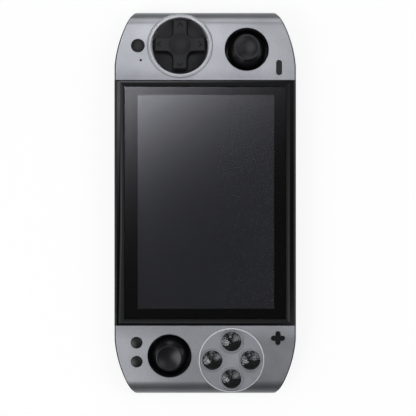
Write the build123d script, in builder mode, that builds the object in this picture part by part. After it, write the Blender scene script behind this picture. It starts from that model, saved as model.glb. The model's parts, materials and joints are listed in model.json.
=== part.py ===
from build123d import *
import os
from math import cos, radians, sin, sqrt, tan

os.makedirs("parts", exist_ok=True)

# The console lies on its back: X along its length, Y towards the shoulder buttons, Z out of the screen.
# Each end slopes down as a wing, and what sits on a wing is square to that slope. A depth is measured
# down from the wing's surface, a height up from it.

# Body
body_length = 193.0
body_width = 90.5
body_height = 17.0
wing_length = 27.75  # from the corner of the long side to the end
end_width = 71.6
side_radius = 60.0
corner_radius = 3.0
bend_length = 5.25
wing_tilt = 7.0
roll_radius = 8.6
parting_height = 5.2
back_tilt = 3.0
back_roll_radius = 3.9
back_bevel_height = 2.6
back_bevel_angles = (22.0, 55.0)
back_bevel_share = 0.4
back_inset = 0.25
wall = 1.6
middle_wall = 1.0
overrun = 20.0

# Aluminium end panels
panel_length = 35.25
panel_thickness = 1.0
panel_edge_inset = 0.65
panel_foot_gap = 0.1
glue_gap = 0.1
deck_thickness = 1.5

# Screen
bezel_gap = 0.35
bezel_side_gap = 0.05
rim_width = 1.0
rim_drop = 0.4
bezel_thickness = 2.4
bezel_slope = 2.0
bezel_end_border = 0.9
bezel_side_border = 1.9
glass_recess = 1.0
glass_thickness = 1.1
glass_gap = 0.1
gasket_thickness = 0.3
screen_end_border = 4.55
screen_side_border = 6.2
screen_offset = (-0.5, 0.4)
display_border = 2.2
display_thickness = 2.6
display_gap = 0.3
tray_wall = 1.2
tray_floor = 0.9

# Dishes in the wings, with the clear ring and the clear disc that fill them
dish_radius = 16.5
dish_depth = 2.6
dish_fit = 0.1
clear_height = 0.6
clear_chamfer = 0.4
dpad_from_end = 17.9
dpad_y = -12.6
ring_inner_radius = 14.55
disc_from_end = 17.9
disc_y = 13.1

# Direction pad
pad_gap = 0.6
pad_underside = 1.4
pad_height = 0.2
pad_rim_chamfer = 0.3
cross_span = 25.4
cross_width = 7.4
cross_hub_width = 8.0
cross_corner_radius = 3.0
cross_tip_radius = 0.9
cross_height = 2.6
cross_draft = 6.0
hub_dish_radius = 5.5
hub_dish_depth = 0.45
pad_plug_radius = 11.0
pad_hole_gap = 0.5
pad_flange_overlap = 1.6
pad_flange_depth = 6.3
pad_flange_thickness = 0.8
pivot_depth = 7.0
pivot_radius = 1.75
pivot_gap = 0.1

# Action buttons
button_circle_radius = 9.5
lens_radius = 5.8
lens_hole_gap = 0.25
lens_underside = 1.3
lens_shoulder_height = 0.4
lens_dome_height = 2.2
core_radius = 5.1
core_gap = 0.05
core_shoulder_height = -0.3
core_dome_height = 1.3
stem_radius = 3.0
stem_hole_gap = 0.15
clip_radius = 3.7
clip_gap = 0.15
clip_thickness = 0.8
nub_radius = 1.6
nub_length = 0.4

# Small round buttons
small_travel = 0.6
small_height = 0.9
small_dome = 0.35
small_gap = 0.15
small_flange = 0.8
small_flange_gap = 0.12
small_flange_thickness = 0.75
escape_radius = 3.3
escape_gap = 1.25
select_radius = 2.8
select_from_end = 26.75
start_from_end = 17.1
start_gap = 2.6
plunger_stem_radius = 1.4
plunger_stem_depth = 5.9

# Volume keys
key_gap = 0.22
key_height = 0.25
volume_from_panel_edge = 6.25
minus_from_side = 8.4
minus_length = 7.6
minus_width = 2.9
plus_from_side = 9.0
plus_span = 7.1
plus_arm = 2.6
key_flange = 0.6
key_flange_gap = 0.45

# Microphone
mic_hole_radius = 0.6
mic_radius = 1.6
mic_thickness = 1.5
mic_from_end = 25.3
mic_y_from_escape = 1.5
mic_gap = 0.1

# Thumb sticks
left_stick_from_end = 19.75
left_stick_y = 20.75
right_stick_from_end = 20.0
right_stick_y = -17.8
stick_hole_radius = 11.05
stick_pivot_depth = 6.5
dome_radius = 9.9
dome_thickness = 0.9
dome_rim_radius = 9.4
dome_neck_radius = 5.2
cap_radius = 6.7
cap_underside = 9.0
cap_top = 10.8
cap_edge = 0.6
cap_dish_radius = 5.75
cap_dish_depth = 0.9
cap_boss_radius = 3.0
cap_boss_foot = 6.0
lever_radius = 1.6
lever_top = 9.3
lever_foot = 2.4
socket_gap = 0.03
well_fit = 0.05
well_bore_radius = 10.3
well_top_drop = 0.35
well_step_drop = 0.9
well_flange_radius = 11.7
well_flange_thickness = 0.9
well_flange_gap = 0.25
base_width = 12.0
base_wall = 0.9
base_rise = 1.6
base_floor = 3.1
base_corner = 1.0
ear_length = 16.0
ear_width = 8.0
ear_thickness = 0.8
yoke_width = 9.5
yoke_bore = 6.6
yoke_half_height = 1.2
yoke_pin_radius = 1.0
lever_pin_radius = 0.8
pin_clearance = 0.05

# Key boards, their switches and contact mats
board_depth = 8.8
board_thickness = 1.0
board_from_panel_edge = 3.35
board_side_inset = 6.2
board_shoulder_from_end = 10.9
board_tip_from_end = 6.0
board_tip_half_width = 24.0
switch_width = 4.5
switch_height = 1.5
switch_plunger_radius = 1.1
switch_clearance = 0.1
mat_thickness = 0.4
mat_dome_radius = 2.2
mat_dome_height = 0.85
mat_hole_gap = 0.3
pad_mat_radius = 11.5
pad_dome_circle = 8.5

# Shoulder buttons
shoulder_from_corner = 0.85
shoulder_length = 21.6
shoulder_depth = 4.6
shoulder_foot = 6.6
shoulder_height = 4.1
shoulder_clearance = 0.3
shoulder_corner = 0.8
hinge_from_corner = 2.45
hinge_from_side = 3.05
hinge_pin_radius = 0.75
hinge_boss_radius = 1.9
hinge_pin_foot = 2.6
hinge_pin_reach = 2.2
hinge_clearance = 0.05
hinge_boss_gap = 0.2
shoulder_switch_from_end = 13.5
shoulder_switch_y = 32.6
shoulder_switch_size = (5.0, 3.2)
shoulder_switch_height = 3.0
shoulder_plunger_length = 1.8
shoulder_plunger_radius = 0.9

# Main board and what it carries
main_board_gap = 2.95
main_board_side_gap = 1.65
main_board_height = 7.2
main_board_thickness = 1.0
chip_places = ((-18.0, 6.0, 26.0, 24.0, 1.6), (14.0, 10.0, 14.0, 14.0, 1.2), (14.0, -10.0, 14.0, 12.0, 1.2))
battery_end_gap = 21.2
battery_side_gap = 14.0
battery_height = 4.6
floor_gap = 0.05
speaker_size = (12.0, 26.0, 3.4)
speaker_x = 50.0
speaker_slots = 5
speaker_slot_pitch = 2.2
speaker_slot_width = 1.1
speaker_slot_length = 14.0
ribbon_thickness = 0.25
ribbon_width = 12.0
ribbon_overlap = 2.2
ribbon_rise = 0.8

# Sockets in the lower long side and the power switch in the upper one
jack_x = -30.0
jack_width = 6.6
jack_length = 12.0
jack_bore_radius = 1.8
jack_bore_length = 11.5
jack_height = 5.4
jack_wall_radius = 2.9
jack_board_gap = 0.3
card_x = -7.0
card_size = (14.0, 14.0, 1.7)
card_slot = (12.0, 1.0)
hdmi_x = 14.0
hdmi_size = (11.2, 6.0, 2.8)
hdmi_slot = (10.0, 2.2)
usb_x = 32.0
usb_size = (7.8, 5.6, 2.6)
usb_slot = (6.9, 1.8)
socket_front_gap = 0.1
socket_floor_gap = 0.02
port_margin = 0.3
slider_x = -30.0
slider_length = 6.0
slider_height = 2.0
slider_travel = 2.5
slider_gap = 0.2
slider_flange = 0.8
slider_flange_gap = 0.1
slider_recess = 0.15
slider_ridge_width = 0.4
slider_ridges = 4
power_switch_size = (11.0, 3.4, 2.6)
power_switch_gap = 0.25

# Screws
screw_boss_radius = 2.3
screw_shaft_radius = 0.95
screw_bore_radius = 1.0
screw_pass_radius = 1.1
screw_head_radius = 1.8
screw_head_height = 1.2
screw_head_clearance = 0.2
screw_seat_height = 2.4
screw_length = 6.6
screw_bore_length = 4.6
middle_screw_from_panel_edge = 0.75
middle_screw_from_side = 4.25
end_screw_from_end = 8.0
end_screw_y = (30.0, -32.0)
board_screw_from_end = 8.2
board_screw_from_side = 9.0
board_screw_radius = 0.8
board_screw_bore = 0.85
board_screw_pass = 1.0
board_screw_head = 1.6
board_screw_head_height = 0.8
board_screw_length = 3.0
board_boss_radius = 1.8
left_board_screws = ((30.0, 4.0), (28.5, -36.4))
right_board_screws = ((30.2, -5.0), (30.0, 29.5))

# Places that follow from the sizes above
half_length = body_length / 2
half_width = body_width / 2
end_half_width = end_width / 2
wing_start = half_length - wing_length
bend_start = wing_start - bend_length
panel_edge = half_length - panel_length
bend_radius = bend_length / sin(radians(wing_tilt))
wing_start_height = body_height - bend_radius * (1 - cos(radians(wing_tilt)))
roll_start = half_length - roll_radius * (1 - sin(radians(wing_tilt)))
roll_center_x = half_length - roll_radius
roll_start_height = wing_start_height - (roll_start - wing_start) * tan(radians(wing_tilt))
roll_center_height = roll_start_height - roll_radius * cos(radians(wing_tilt))
deck_top = panel_thickness + glue_gap
deck_under = deck_top + deck_thickness
dish_deck_top = dish_depth + panel_thickness + glue_gap
dish_deck_under = dish_deck_top + deck_thickness
bezel_half_length = panel_edge - bezel_gap
bezel_half_width = half_width - rim_width - bezel_side_gap
bezel_floor = body_height - bezel_thickness
glass_top = body_height - glass_recess
glass_half_length = bezel_half_length - bezel_end_border - bezel_slope
glass_half_width = bezel_half_width - bezel_side_border - bezel_slope
screen_length = 2 * (glass_half_length - screen_end_border)
screen_width = 2 * (glass_half_width - screen_side_border)
display_length = screen_length + 2 * display_border
display_width = screen_width + 2 * display_border
tray_bottom = bezel_floor - display_thickness - tray_floor
board_top = main_board_height + main_board_thickness
main_board_half_length = panel_edge - main_board_gap - glue_gap
main_board_half_width = half_width - wall - main_board_side_gap
battery_length = 2 * (main_board_half_length - battery_end_gap)
battery_width = 2 * (main_board_half_width - battery_side_gap)
battery_size = (battery_length, battery_width, battery_height)
board_screw_places = [
    (side * (main_board_half_length - board_screw_from_end), edge * (main_board_half_width - board_screw_from_side))
    for edge in (1, -1)
    for side in (1, -1)
]

dpad_x = -(half_length - dpad_from_end)
disc_x = half_length - disc_from_end
left_stick_x = -(half_length - left_stick_from_end)
right_stick_x = half_length - right_stick_from_end
escape_x = dpad_x
escape_y = dpad_y - dish_radius - escape_gap - escape_radius
select_x = half_length - select_from_end
start_x = half_length - start_from_end
start_y = right_stick_y - stick_hole_radius - start_gap - select_radius
mic_x = -(half_length - mic_from_end)
mic_y = escape_y + mic_y_from_escape
minus_x = -(panel_edge + volume_from_panel_edge)
minus_y = half_width - minus_from_side
plus_x = panel_edge + volume_from_panel_edge
plus_y = half_width - plus_from_side
hinge_x = wing_start + hinge_from_corner
hinge_y = half_width - hinge_from_side
case_screws = [
    (side * (panel_edge - middle_screw_from_panel_edge), edge * (half_width - middle_screw_from_side))
    for side in (-1, 1)
    for edge in (-1, 1)
] + [(side * (half_length - end_screw_from_end), y) for side in (-1, 1) for y in end_screw_y]


def save(piece, name):
    """Label a finished piece and write it under its name."""
    piece.part.label = name
    export_step(piece.part, f"parts/{name}.step")


def wing_plane(x, y, height=0.0):
    """Plane square to the wing that x lies on, height above the wing's surface at x, y."""
    side = 1 if x > 0 else -1
    slope = radians(wing_tilt)
    normal = Vector(side * sin(slope), 0, cos(slope))
    surface = Vector(x, y, wing_start_height - (abs(x) - wing_start) * tan(slope))
    return Plane(origin=surface + normal * height, x_dir=(normal.Z, 0, -normal.X), z_dir=normal)


def turning_plane(place):
    """Plane through the axis of place, for profiles drawn as radius and height."""
    return Plane(origin=place.origin, x_dir=place.x_dir, z_dir=-place.y_dir)


def cross_plane(place, along):
    """Plane through the origin of place whose normal is along, one of its own directions."""
    return Plane(origin=place.origin, x_dir=place.z_dir, z_dir=along)


def body_outline(inset, end_inset=0.0):
    """Outline of the body in X and Y, set in from its sides and from its ends."""
    with BuildSketch() as outline:
        with BuildLine():
            side = Line((0, half_width - inset), (wing_start, half_width - inset))
            end = (half_length - end_inset, end_half_width - inset)
            RadiusArc(side @ 1, end, side_radius)
            Polyline(end, (half_length - end_inset, 0), (0, 0), side @ 0)
        make_face()
        mirror(about=Plane.XZ)
        mirror(about=Plane.YZ)
        columns = outline.vertices().group_by(Axis.X)
        corners = [v for v in columns[0] + columns[-1] if abs(v.Y) > end_half_width / 2]
        fillet(corners, corner_radius)
    return outline.sketch


def under_surface(inset):
    """Section in X and Z of all that lies under the top surface set in by inset."""
    arc = 90 - wing_tilt
    with BuildSketch(Plane.XZ) as section:
        with BuildLine():
            bend = CenterArc((bend_start, body_height - bend_radius), bend_radius - inset, arc, wing_tilt)
            roll = CenterArc((roll_center_x, roll_center_height), roll_radius - inset, 0, arc)
            Line(bend @ 0, roll @ 1)
            Polyline(roll @ 0, (half_length - inset, 0), (0, 0), (0, body_height - inset), bend @ 1)
        make_face()
        mirror(about=Plane.YZ)
    return section.sketch


def above_back(inset, high):
    """Section in X and Z of all that lies above the back surface set in by inset, up to high."""
    slope = radians(back_tilt)
    reach = half_length - back_inset
    roll_x = reach - back_roll_radius
    rise = (roll_x + back_roll_radius * sin(slope) - wing_start) * tan(slope)
    roll_height = rise + back_roll_radius * cos(slope)
    step = inset * tan(slope / 2)
    with BuildSketch(Plane.XZ) as section:
        with BuildLine():
            radius = back_roll_radius - inset
            roll = CenterArc((roll_x, roll_height), radius, -90 + back_tilt, 90 - back_tilt)
            Polyline((0, high), (0, inset), (wing_start - step, inset), roll @ 0)
            Polyline(roll @ 1, (reach - inset, high), (0, high))
        make_face()
        mirror(about=Plane.YZ)
    return section.sketch


def core_under(inset, side_inset, low, end_inset=0.0):
    """Solid under the top surface and inside the outline, both set in, down to low."""
    with BuildPart() as core:
        extrude(under_surface(inset), amount=half_width, both=True)
        with BuildSketch(Plane.XY.offset(low)):
            add(body_outline(side_inset, end_inset))
        extrude(amount=body_height, mode=Mode.INTERSECT)
    return core.part


def wing_post(x, y, radius, low, high):
    """Round post square to the wing at x, y, between two heights."""
    with BuildPart() as post:
        with BuildSketch(wing_plane(x, y, low)):
            Circle(radius)
        extrude(amount=high - low)
    return post.part


def upright_post(x, y, radius, low, high):
    """Round post along Z at x, y, between two heights above the back."""
    with BuildPart() as post:
        with BuildSketch(Plane.XY.offset(low)):
            with Locations((x, y)):
                Circle(radius)
        extrude(amount=high - low)
    return post.part


def block(x_range, y_range, z_range):
    """Box between three pairs of limits."""
    with BuildPart() as box:
        with BuildSketch(Plane.XY.offset(z_range[0])):
            with Locations(((x_range[0] + x_range[1]) / 2, (y_range[0] + y_range[1]) / 2)):
                Rectangle(x_range[1] - x_range[0], y_range[1] - y_range[0])
        extrude(amount=z_range[1] - z_range[0])
    return box.part


def plus_outline(span, arm):
    """Plus with round arm ends."""
    with BuildSketch() as plus:
        SlotOverall(span, arm)
        SlotOverall(span, arm, rotation=90)
    return plus.sketch


def minus_outline(length, width):
    """Bar with round ends, along X."""
    with BuildSketch() as minus:
        SlotOverall(length, width)
    return minus.sketch


def wing_key(x, y, outline, low, high):
    """Outline carried along the wing's normal at x, y, between two heights."""
    with BuildPart() as key:
        with BuildSketch(wing_plane(x, y, low)):
            add(outline)
        extrude(amount=high - low)
    return key.part


def dish(x, y, radius, depth):
    """Round pocket of a wing, from depth up and out of the body."""
    return wing_post(x, y, radius, -depth, overrun)


dish_places = ((dpad_x, dpad_y), (disc_x, disc_y))
stick_places = ((left_stick_x, left_stick_y), (right_stick_x, right_stick_y))
button_places = {
    name: (disc_x + button_circle_radius * cos(radians(angle)), disc_y + button_circle_radius * sin(radians(angle)))
    for name, angle in (("right", 0), ("up", 90), ("left", 180), ("down", 270))
}

# Cutters for all that passes through the panels and the deck below them
with BuildPart() as wing_holes:
    add(wing_post(dpad_x, dpad_y, pad_plug_radius + pad_hole_gap, -overrun, overrun))
    for x, y in stick_places:
        add(wing_post(x, y, stick_hole_radius, -overrun, overrun))
    for x, y in button_places.values():
        add(wing_post(x, y, stem_radius + stem_hole_gap, -overrun, overrun))
    add(wing_post(escape_x, escape_y, escape_radius + small_gap, -overrun, overrun))
    for x in (select_x, start_x):
        add(wing_post(x, start_y, select_radius + small_gap, -overrun, overrun))
    add(wing_post(mic_x, mic_y, mic_hole_radius, -overrun, overrun))
    add(wing_key(minus_x, minus_y, minus_outline(minus_length, minus_width), -overrun, overrun))
    add(wing_key(plus_x, plus_y, plus_outline(plus_span, plus_arm), -overrun, overrun))


# End panels: a sheet that follows the surface and dips into the round dish
with BuildPart() as panel_sheet:
    add(core_under(0, panel_edge_inset, roll_center_height + panel_foot_gap))
    for x, y in dish_places:
        add(dish(x, y, dish_radius, dish_depth), mode=Mode.SUBTRACT)
with BuildPart() as panel_hollow:
    extrude(under_surface(panel_thickness), amount=body_width, both=True)
    for x, y in dish_places:
        add(dish(x, y, dish_radius + panel_thickness, dish_depth + panel_thickness), mode=Mode.SUBTRACT)
with BuildPart() as panels:
    add(panel_sheet.part)
    add(panel_hollow.part, mode=Mode.SUBTRACT)
    add(wing_holes.part, mode=Mode.SUBTRACT)
for side, name in ((-1, "panel_left"), (1, "panel_right")):
    limits = sorted((side * panel_edge, side * (half_length + overrun)))
    with BuildPart() as panel:
        add(panels.part)
        add(block(limits, (-body_width, body_width), (0, body_height + overrun)), mode=Mode.INTERSECT)
    save(panel, name)

# Front housing: rim, decks under the panels, display tray and bosses
shoulder_x = (wing_start + shoulder_from_corner, wing_start + shoulder_from_corner + shoulder_length)


def shoulder_band(depth, clearance, low, high):
    """Strip of both upper corners that runs along the outline, with clearance at its ends."""
    with BuildPart() as band:
        with BuildSketch(Plane.XY.offset(low)) as strip:
            add(body_outline(0))
            add(body_outline(depth), mode=Mode.SUBTRACT)
            middle = (shoulder_x[0] + shoulder_x[1]) / 2
            with Locations((middle, half_width / 2), (-middle, half_width / 2)):
                Rectangle(shoulder_length + 2 * clearance, half_width, mode=Mode.INTERSECT)
        extrude(amount=high - low)
    return band.part


shoulder_top = shoulder_foot + shoulder_height
hinge_top = shoulder_top + shoulder_clearance
front_cavity_top = bezel_floor - deck_thickness
with BuildPart() as front_cavity:
    add(core_under(deck_under, wall, 0))
    middle = panel_edge + middle_wall
    add(block((-middle, middle), (-body_width, body_width), (front_cavity_top, body_height)), mode=Mode.SUBTRACT)
    for x, y in dish_places:
        add(dish(x, y, dish_radius + deck_under, dish_deck_under), mode=Mode.SUBTRACT)
    tray_x = display_length / 2 + display_gap + tray_wall
    tray_y = display_width / 2 + display_gap + tray_wall
    tray_limits = (
        (screen_offset[0] - tray_x, screen_offset[0] + tray_x),
        (screen_offset[1] - tray_y, screen_offset[1] + tray_y),
    )
    add(block(*tray_limits, (tray_bottom, body_height)), mode=Mode.SUBTRACT)
    for x, y in case_screws:
        add(upright_post(x, y, screw_boss_radius, 0, body_height), mode=Mode.SUBTRACT)
    for x, y in board_screw_places:
        add(upright_post(x, y, board_boss_radius, board_top, body_height), mode=Mode.SUBTRACT)
    for side, places in ((-1, left_board_screws), (1, right_board_screws)):
        for from_end, y in places:
            x = side * (half_length - from_end)
            add(wing_post(x, y, board_boss_radius, -board_depth, 0), mode=Mode.SUBTRACT)
    for side in (-1, 1):
        add(upright_post(side * hinge_x, hinge_y, hinge_boss_radius, hinge_top, body_height), mode=Mode.SUBTRACT)


def wall_opening(x, width, z, height, y_side):
    """Slot through a long side of the body, centred on x and z."""
    depth = sorted((y_side * (half_width - 2 * wall), y_side * (half_width + wall)))
    return block((x - width / 2, x + width / 2), depth, (z - height / 2, z + height / 2))


jack_z = board_top
slider_z = board_top + power_switch_size[2] / 2
with BuildPart() as front_housing:
    add(core_under(deck_top, 0, parting_height))
    with BuildSketch(Plane.XY.offset(parting_height)):
        add(body_outline(0))
    extrude(amount=roll_center_height - parting_height)
    rim_top = body_height - rim_drop
    add(block((-panel_edge, panel_edge), (-half_width, half_width), (bezel_floor, rim_top)))
    rim_inside = half_width - rim_width
    pocket_x = panel_edge
    add(block((-pocket_x, pocket_x), (-rim_inside, rim_inside), (bezel_floor, body_height)), mode=Mode.SUBTRACT)
    for x, y in dish_places:
        radius = dish_radius + panel_thickness + glue_gap
        add(dish(x, y, radius, dish_deck_top), mode=Mode.SUBTRACT)
    add(front_cavity.part, mode=Mode.SUBTRACT)
    pocket = (display_length / 2 + display_gap, display_width / 2 + display_gap)
    add(
        block(
            (screen_offset[0] - pocket[0], screen_offset[0] + pocket[0]),
            (screen_offset[1] - pocket[1], screen_offset[1] + pocket[1]),
            (tray_bottom + tray_floor, body_height),
        ),
        mode=Mode.SUBTRACT,
    )
    add(wing_holes.part, mode=Mode.SUBTRACT)
    for x, y in case_screws:
        bore = upright_post(x, y, screw_bore_radius, 0, parting_height + screw_bore_length)
        add(bore, mode=Mode.SUBTRACT)
    for x, y in board_screw_places:
        bore = upright_post(x, y, board_screw_bore, board_top, board_top + board_screw_length)
        add(bore, mode=Mode.SUBTRACT)
    for side, places in ((-1, left_board_screws), (1, right_board_screws)):
        for from_end, y in places:
            x = side * (half_length - from_end)
            bore = wing_post(x, y, board_screw_bore, -board_depth, -board_depth + board_screw_length)
            add(bore, mode=Mode.SUBTRACT)
    add(
        shoulder_band(
            shoulder_depth + wall,
            shoulder_clearance,
            shoulder_foot - shoulder_clearance,
            shoulder_top + shoulder_clearance,
        ),
        mode=Mode.SUBTRACT,
    )
    for side in (-1, 1):
        bore_radius = hinge_pin_radius + hinge_clearance
        bore = upright_post(side * hinge_x, hinge_y, bore_radius, hinge_top, hinge_top + hinge_pin_reach)
        add(bore, mode=Mode.SUBTRACT)
    with BuildSketch(Plane.XZ.offset(half_width - 2 * wall)):
        with Locations((jack_x, jack_z)):
            Circle(jack_wall_radius)
    extrude(amount=half_width, mode=Mode.SUBTRACT)
    for x, size in ((card_x, card_size), (hdmi_x, hdmi_size), (usb_x, usb_size)):
        z = board_top + size[2] / 2
        opening = wall_opening(x, size[0] + port_margin, z, size[2] + port_margin, -1)
        add(opening, mode=Mode.SUBTRACT)
    slot = slider_length + slider_travel + 2 * slider_gap
    slot_x = slider_x + slider_travel / 2
    add(wall_opening(slot_x, slot, slider_z, slider_height + 2 * slider_gap, 1), mode=Mode.SUBTRACT)
save(front_housing, "front_housing")

# Rear cover: a shallow tray with two bevels all round, standoffs and loudspeaker slots
with BuildPart() as back_cavity:
    extrude(above_back(wall, parting_height + overrun), amount=half_width, both=True)
    with BuildSketch():
        add(body_outline(back_inset + wall, back_inset + wall))
    extrude(amount=parting_height + overrun, mode=Mode.INTERSECT)
    for x, y in case_screws:
        add(upright_post(x, y, screw_boss_radius, 0, parting_height), mode=Mode.SUBTRACT)
    for side in (-1, 1):
        top = shoulder_foot - shoulder_clearance - hinge_boss_gap
        add(upright_post(side * hinge_x, hinge_y, hinge_boss_radius, 0, top), mode=Mode.SUBTRACT)
with BuildPart() as rear_cover:
    with BuildSketch(Plane.XY.offset(back_bevel_height)) as cover_outline:
        add(body_outline(back_inset, back_inset))
    extrude(amount=parting_height - back_bevel_height)
    low_bevel = back_bevel_height * back_bevel_share
    extrude(cover_outline.sketch, amount=low_bevel - back_bevel_height, taper=back_bevel_angles[0])
    extrude(faces().sort_by(Axis.Z)[0], amount=low_bevel, taper=back_bevel_angles[1])
    extrude(above_back(0, parting_height), amount=half_width, both=True, mode=Mode.INTERSECT)
    add(back_cavity.part, mode=Mode.SUBTRACT)
    for x, y in case_screws:
        add(upright_post(x, y, screw_pass_radius, 0, parting_height), mode=Mode.SUBTRACT)
        head = screw_head_radius + screw_head_clearance
        add(upright_post(x, y, head, 0, screw_seat_height), mode=Mode.SUBTRACT)
    for side in (-1, 1):
        bore_radius = hinge_pin_radius + hinge_clearance
        bore = upright_post(side * hinge_x, hinge_y, bore_radius, hinge_pin_foot, body_height)
        add(bore, mode=Mode.SUBTRACT)
        with BuildSketch():
            with Locations((side * speaker_x, 0)):
                with GridLocations(speaker_slot_pitch, 0, speaker_slots, 1):
                    SlotOverall(speaker_slot_length, speaker_slot_width, rotation=90)
        extrude(amount=wall, mode=Mode.SUBTRACT)
save(rear_cover, "rear_cover")

# Screen: bezel, cover glass, black gasket and display
with BuildPart() as screen_bezel:
    with BuildSketch(Plane.XY.offset(bezel_floor)) as frame_outline:
        Rectangle(2 * bezel_half_length, 2 * bezel_half_width)
    extrude(amount=bezel_thickness)
    with BuildSketch(Plane.XY.offset(bezel_floor)):
        Rectangle(2 * (glass_half_length + glass_gap), 2 * (glass_half_width + glass_gap))
    extrude(amount=bezel_thickness, mode=Mode.SUBTRACT)
    with BuildSketch(Plane.XY.offset(glass_top)):
        Rectangle(2 * (glass_half_length + glass_gap), 2 * (glass_half_width + glass_gap))
    with BuildSketch(Plane.XY.offset(body_height)):
        Rectangle(2 * (glass_half_length + bezel_slope), 2 * (glass_half_width + bezel_slope))
    loft(mode=Mode.SUBTRACT)
save(screen_bezel, "screen_bezel")

glass_under = glass_top - glass_thickness
with BuildPart() as cover_glass:
    with BuildSketch(Plane.XY.offset(glass_under)):
        Rectangle(2 * glass_half_length, 2 * glass_half_width)
    extrude(amount=glass_thickness)
save(cover_glass, "cover_glass")

with BuildPart() as lcd_gasket:
    with BuildSketch(Plane.XY.offset(glass_under - gasket_thickness)):
        Rectangle(2 * glass_half_length, 2 * glass_half_width)
        with Locations(screen_offset):
            Rectangle(screen_length, screen_width, mode=Mode.SUBTRACT)
    extrude(amount=gasket_thickness)
save(lcd_gasket, "lcd_gasket")

with BuildPart() as lcd_panel:
    with BuildSketch(Plane.XY.offset(tray_bottom + tray_floor)):
        with Locations(screen_offset):
            Rectangle(display_length, display_width)
    extrude(amount=display_thickness)
save(lcd_panel, "lcd_panel")

# Clear ring and clear disc, flat on the floor of their dish
clear_radius = dish_radius - dish_fit


def clear_plate(x, y):
    """Clear plate that fills a dish, with a chamfered top edge."""
    with BuildPart() as plate:
        add(wing_post(x, y, clear_radius, -dish_depth, clear_height))
        chamfer(plate.faces().sort_by(wing_axis(x, y))[-1].edges(), clear_chamfer)
    return plate.part


def wing_axis(x, y):
    """Axis along the wing's normal at x, y."""
    place = wing_plane(x, y)
    return Axis(place.origin, place.z_dir)


with BuildPart() as dpad_ring:
    add(clear_plate(dpad_x, dpad_y))
    add(wing_post(dpad_x, dpad_y, ring_inner_radius, -overrun, overrun), mode=Mode.SUBTRACT)
save(dpad_ring, "dpad_ring")

lens_hole_radius = lens_radius + lens_hole_gap
with BuildPart() as action_disc:
    add(clear_plate(disc_x, disc_y))
    for x, y in button_places.values():
        add(wing_post(x, y, lens_hole_radius, -overrun, overrun), mode=Mode.SUBTRACT)
save(action_disc, "action_disc")

# Direction pad: a disc with a raised cross, a plug through the deck and a flange that keeps it in
dpad_place = wing_plane(dpad_x, dpad_y)
pad_radius = ring_inner_radius - pad_gap
with BuildPart() as dpad_cap:
    with BuildSketch(dpad_place.offset(-pad_underside)):
        Circle(pad_radius)
    extrude(amount=pad_underside + pad_height)
    chamfer(faces().sort_by(wing_axis(dpad_x, dpad_y))[-1].edges(), pad_rim_chamfer)
    with BuildSketch(dpad_place.offset(pad_height)) as cross:
        reach = cross_span / 2
        tip = cross_width / 2
        root = cross_hub_width / 2
        corner = [Vector(reach, -tip), Vector(reach, tip), Vector(root, root)]
        with BuildLine():
            Polyline([point.rotate(Axis.Z, turn) for turn in (0, 90, 180, 270) for point in corner], close=True)
        make_face()
        by_distance = cross.vertices().sort_by_distance((0, 0, 0))
        fillet(by_distance[4:], cross_tip_radius)
        inner = cross.vertices().sort_by_distance((0, 0, 0))[0:4]
        fillet(inner, cross_corner_radius)
    extrude(amount=cross_height, taper=cross_draft)
    dish_ball = (hub_dish_radius**2 + hub_dish_depth**2) / (2 * hub_dish_depth)
    with Locations(dpad_place.offset(pad_height + cross_height - hub_dish_depth + dish_ball)):
        Sphere(dish_ball, mode=Mode.SUBTRACT)
    with BuildSketch(dpad_place.offset(-pad_underside)):
        Circle(pad_plug_radius)
    extrude(amount=pad_underside - pad_flange_depth - pad_flange_thickness)
    with BuildSketch(dpad_place.offset(-pad_flange_depth)):
        Circle(pad_plug_radius + pad_flange_overlap)
    extrude(amount=-pad_flange_thickness)
    with Locations(dpad_place.offset(-pivot_depth)):
        Sphere(pivot_radius + pivot_gap, mode=Mode.SUBTRACT)
save(dpad_cap, "dpad_cap")

with BuildPart() as dpad_pivot:
    with Locations(dpad_place.offset(-pivot_depth)):
        Sphere(pivot_radius)
save(dpad_pivot, "dpad_pivot")


def turned(place, draw_profile):
    """Solid of revolution about the normal of place, from a profile of radius and height."""
    with BuildPart() as solid:
        with BuildSketch(turning_plane(place)):
            with BuildLine():
                draw_profile()
            make_face()
        revolve(axis=Axis(place.origin, place.z_dir))
    return solid.part


def dome_edge(radius, shoulder, rise):
    """Arc from the shoulder of a dome up to its top on the axis."""
    ball = (radius**2 + rise**2) / (2 * rise)
    middle_height = shoulder + rise - ball
    half_radius = radius / 2
    middle = (half_radius, middle_height + sqrt(ball**2 - half_radius**2))
    ThreePointArc((radius, shoulder), middle, (0, shoulder + rise))


# Action buttons: a dark core with a snap-in stem under a clear domed cap
def core_profile():
    """Half section of the dark core, from its dome down to the nub on the contact mat."""
    clip_top = -(dish_deck_under + clip_gap)
    clip_foot = clip_top - clip_thickness
    dome_edge(core_radius, core_shoulder_height, core_dome_height)
    Polyline(
        (core_radius, core_shoulder_height),
        (core_radius, -lens_underside),
        (stem_radius, -lens_underside),
        (stem_radius, clip_top),
        (clip_radius, clip_top),
        (clip_radius, clip_foot),
        (nub_radius, clip_foot),
        (nub_radius, clip_foot - nub_length),
        (0, clip_foot - nub_length),
        (0, core_shoulder_height + core_dome_height),
    )


def cap_profile():
    """Half section of the clear cap, open below where the core goes in."""
    cavity = core_radius + core_gap
    cavity_shoulder = core_shoulder_height + core_gap
    dome_edge(lens_radius, lens_shoulder_height, lens_dome_height)
    dome_edge(cavity, cavity_shoulder, core_dome_height)
    Polyline(
        (lens_radius, lens_shoulder_height),
        (lens_radius, -lens_underside),
        (cavity, -lens_underside),
        (cavity, cavity_shoulder),
    )
    Line((0, cavity_shoulder + core_dome_height), (0, lens_shoulder_height + lens_dome_height))


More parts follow.
